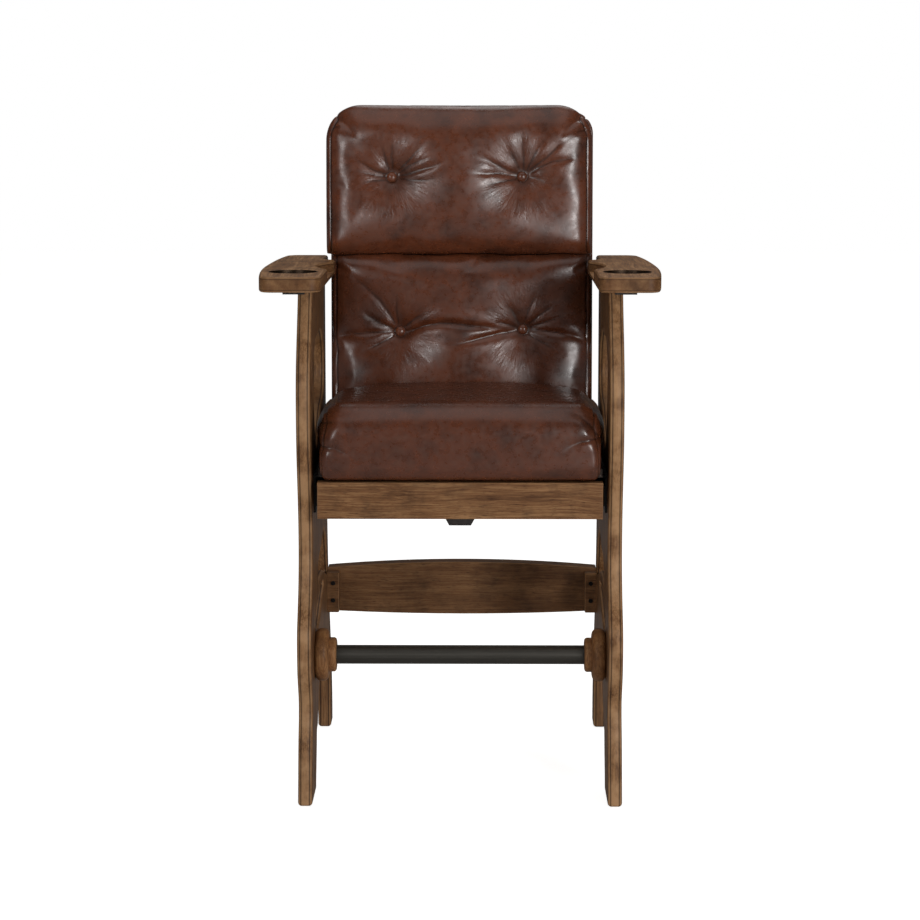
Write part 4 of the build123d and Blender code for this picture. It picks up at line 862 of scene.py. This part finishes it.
def makeSeatCushion():
    v = seatCushion
    lattice, quads = boxLattice(v["lattice"])
    raw = np.column_stack([
        (2 * lattice[:, 0] - 1) * v["half"],
        between((v["front"], v["rear"]), lattice[:, 1]),
        between((v["bottom"], v["top"]), lattice[:, 2]),
    ])
    form, edge = seatShape(raw)
    ahead = 1 - smoothStep(*v["noseEnd"], form[:, 1])
    sink = foldField(form[:, [0, 2]], seatFolds, foldDrawn["soft"])[0]
    form[:, 1] += sink * ahead
    form[:, 0] -= np.sign(form[:, 0]) * sink * ahead * v["foldAcross"]
    piece = meshPiece("seat_cushion_hide", form * mm, quads, seatLeather)
    storeValues(piece.data, "seamGap", seamGap(edge, seatSeam["radius"]))
    mesh, spots = finerMesh(piece)
    form = spots / mm
    ahead = 1 - smoothStep(*v["noseEnd"], form[:, 1])
    sink, lines = foldField(form[:, [0, 2]], seatFolds, foldDrawn["seatLine"])
    form[:, 1] += sink * ahead
    gap = readValues(mesh, "seamGap")
    pinch = seamPinch(gap, seatSeam)
    form[:, 0] -= np.sign(form[:, 0]) * pinch
    # the underside is cut back over the deck, so that only the front hangs before it
    under = (form[:, 1] > v["rebateFront"]) & (form[:, 2] < v["rebateTop"])
    form[under, 2] = v["rebateTop"]
    form[:, 2] = np.maximum(form[:, 2], v["bottom"])
    form[:, 1] = np.minimum(form[:, 1], v["rearmost"])
    form[:, 0] = np.clip(form[:, 0], -v["widest"], v["widest"])
    mesh.vertices.foreach_set("co", (form * mm).ravel())
    # painted shade along the fold lines and the seams
    storeValues(mesh, "foldShade",
        np.clip(np.maximum(lines * ahead * v["foldShade"], seamShade(gap, seatSeam)), 0, 1))
    mesh.update()
    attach(piece, "frame")
    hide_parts("seat_cushion")


makeSeatCushion()
print("seat cushion made")

# Buttons: domed, covered with the same hide, one at each tuft
buttonShape = {"radius": 9.4, "height": 6.2, "seat": 46.2, "segments": 30, "rings": 16}


def coveredButtons(material):
    tree = bpy.data.node_groups.new("coveredButtons", "GeometryNodeTree")
    tree.interface.new_socket("Tufts", in_out="INPUT", socket_type="NodeSocketGeometry")
    for name in ("Radius", "Height", "Lean"):
        tree.interface.new_socket(name, in_out="INPUT", socket_type="NodeSocketFloat")
    tree.interface.new_socket("Buttons", in_out="OUTPUT", socket_type="NodeSocketGeometry")
    given, result = addNode(tree, "NodeGroupInput"), addNode(tree, "NodeGroupOutput")
    ball = addNode(tree, "GeometryNodeMeshUVSphere",
        inputs={"Segments": buttonShape["segments"], "Rings": buttonShape["rings"]},
        links={"Radius": given.outputs["Radius"]})
    flat = addNode(tree, "ShaderNodeMath", operation="DIVIDE",
        links={0: given.outputs["Height"], 1: given.outputs["Radius"]})
    squash = addNode(tree, "ShaderNodeCombineXYZ", inputs={0: 1, 1: 1}, links={2: flat})
    turn = addNode(tree, "ShaderNodeCombineXYZ", links={0: given.outputs["Lean"]})
    dome = addNode(tree, "GeometryNodeTransform",
        links={"Geometry": ball.outputs["Mesh"], "Scale": squash, "Rotation": turn})
    each = addNode(tree, "GeometryNodeInstanceOnPoints",
        links={"Points": given.outputs["Tufts"], "Instance": dome})
    solid = addNode(tree, "GeometryNodeRealizeInstances", links={"Geometry": each})
    smooth = addNode(tree, "GeometryNodeSetShadeSmooth", links={"Geometry": solid})
    covered = addNode(tree, "GeometryNodeSetMaterial", inputs={"Material": material},
        links={"Geometry": smooth})
    tree.links.new(covered.outputs[0], result.inputs["Buttons"])
    return tree


def makeButtons():
    v = buttonShape
    tufts = [(x + values["shift"], up, v["seat"])
        for values in backCushions.values() for x, up in values["buttons"]]
    material = waxedHide("waxed_button_hide", 1.35)
    piece = meshPiece("back_buttons_hide", fromBack(tufts), [], material)
    tree = coveredButtons(material)
    buttons = piece.modifiers.new("buttons", "NODES")
    buttons.node_group = tree
    chosen = {"Radius": v["radius"] * mm, "Height": v["height"] * mm,
        "Lean": math.radians(90 - backPlace["recline"])}
    for socket in tree.interface.items_tree:
        if socket.in_out == "INPUT" and socket.name in chosen:
            buttons[socket.identifier] = chosen[socket.name]
    makeReal(piece)
    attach(piece, "frame")
    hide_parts("back_buttons")


makeButtons()
print("buttons made")

# Cover over the back: hide pulled over the board and its stiles, open in front behind the cushions and below
backCover = {
    "half": 241, "rear": 38, "height": 606, "corner": 41, "round": 9, "thickness": 3.2, "puff": 1.5,
    "ease": 60, "lattice": (96, 120, 8), "margin": 16, "joint": 322,
}
coverSeam = {"depth": 1.4, "width": 2.5, "line": 1.6, "dark": 0.8}


def makeCover():
    v = backCover
    lattice, quads = boxLattice(v["lattice"])
    # the front and the bottom stay open
    quads = [q for q in quads
        if not all(lattice[n][2] == 1 for n in q) and not all(lattice[n][1] == 0 for n in q)]
    raw = np.column_stack([
        (2 * lattice[:, 0] - 1) * v["half"],
        lattice[:, 1] * v["height"],
        (lattice[:, 2] - 1) * v["rear"],
    ])
    soft = v["round"]
    form = roundedBox(raw, (-v["half"], 0, -v["rear"]), (v["half"], v["height"], 0),
        [(soft, soft), (0.01, soft), (soft, 0.01)])[0]
    roundCorners(form, v["half"], v["height"], v["corner"])
    used, quads = np.unique(quads, return_inverse=True)
    form, quads = form[used], quads.reshape(-1, 4).tolist()
    # the seams run round the rear panel and across it
    rim = np.minimum(v["half"] - np.abs(form[:, 0]), v["height"] - form[:, 1]) - v["margin"]
    rear = form[:, 2] < -v["rear"] + 1
    gap = np.where(rear, np.minimum(np.abs(rim), np.abs(form[:, 1] - v["joint"])), 9)
    inside = np.clip(rim / v["ease"], 0, 1) * rear
    form[:, 2] += coverSeam["depth"] * np.exp(-(gap / coverSeam["width"]) ** 2) * rear
    form[:, 2] -= v["puff"] * inside * (1 - inside / 2)
    piece = meshPiece("back_cover_hide", fromBack(form), quads, leather)
    # painted shade along the seams
    storeValues(piece.data, "foldShade", seamShade(gap, coverSeam))
    wall = piece.modifiers.new("wall", "SOLIDIFY")
    wall.thickness, wall.offset = v["thickness"] * mm, -1
    makeReal(piece)
    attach(piece, "frame")
    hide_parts("back_cover")


makeCover()
print("back cover made")
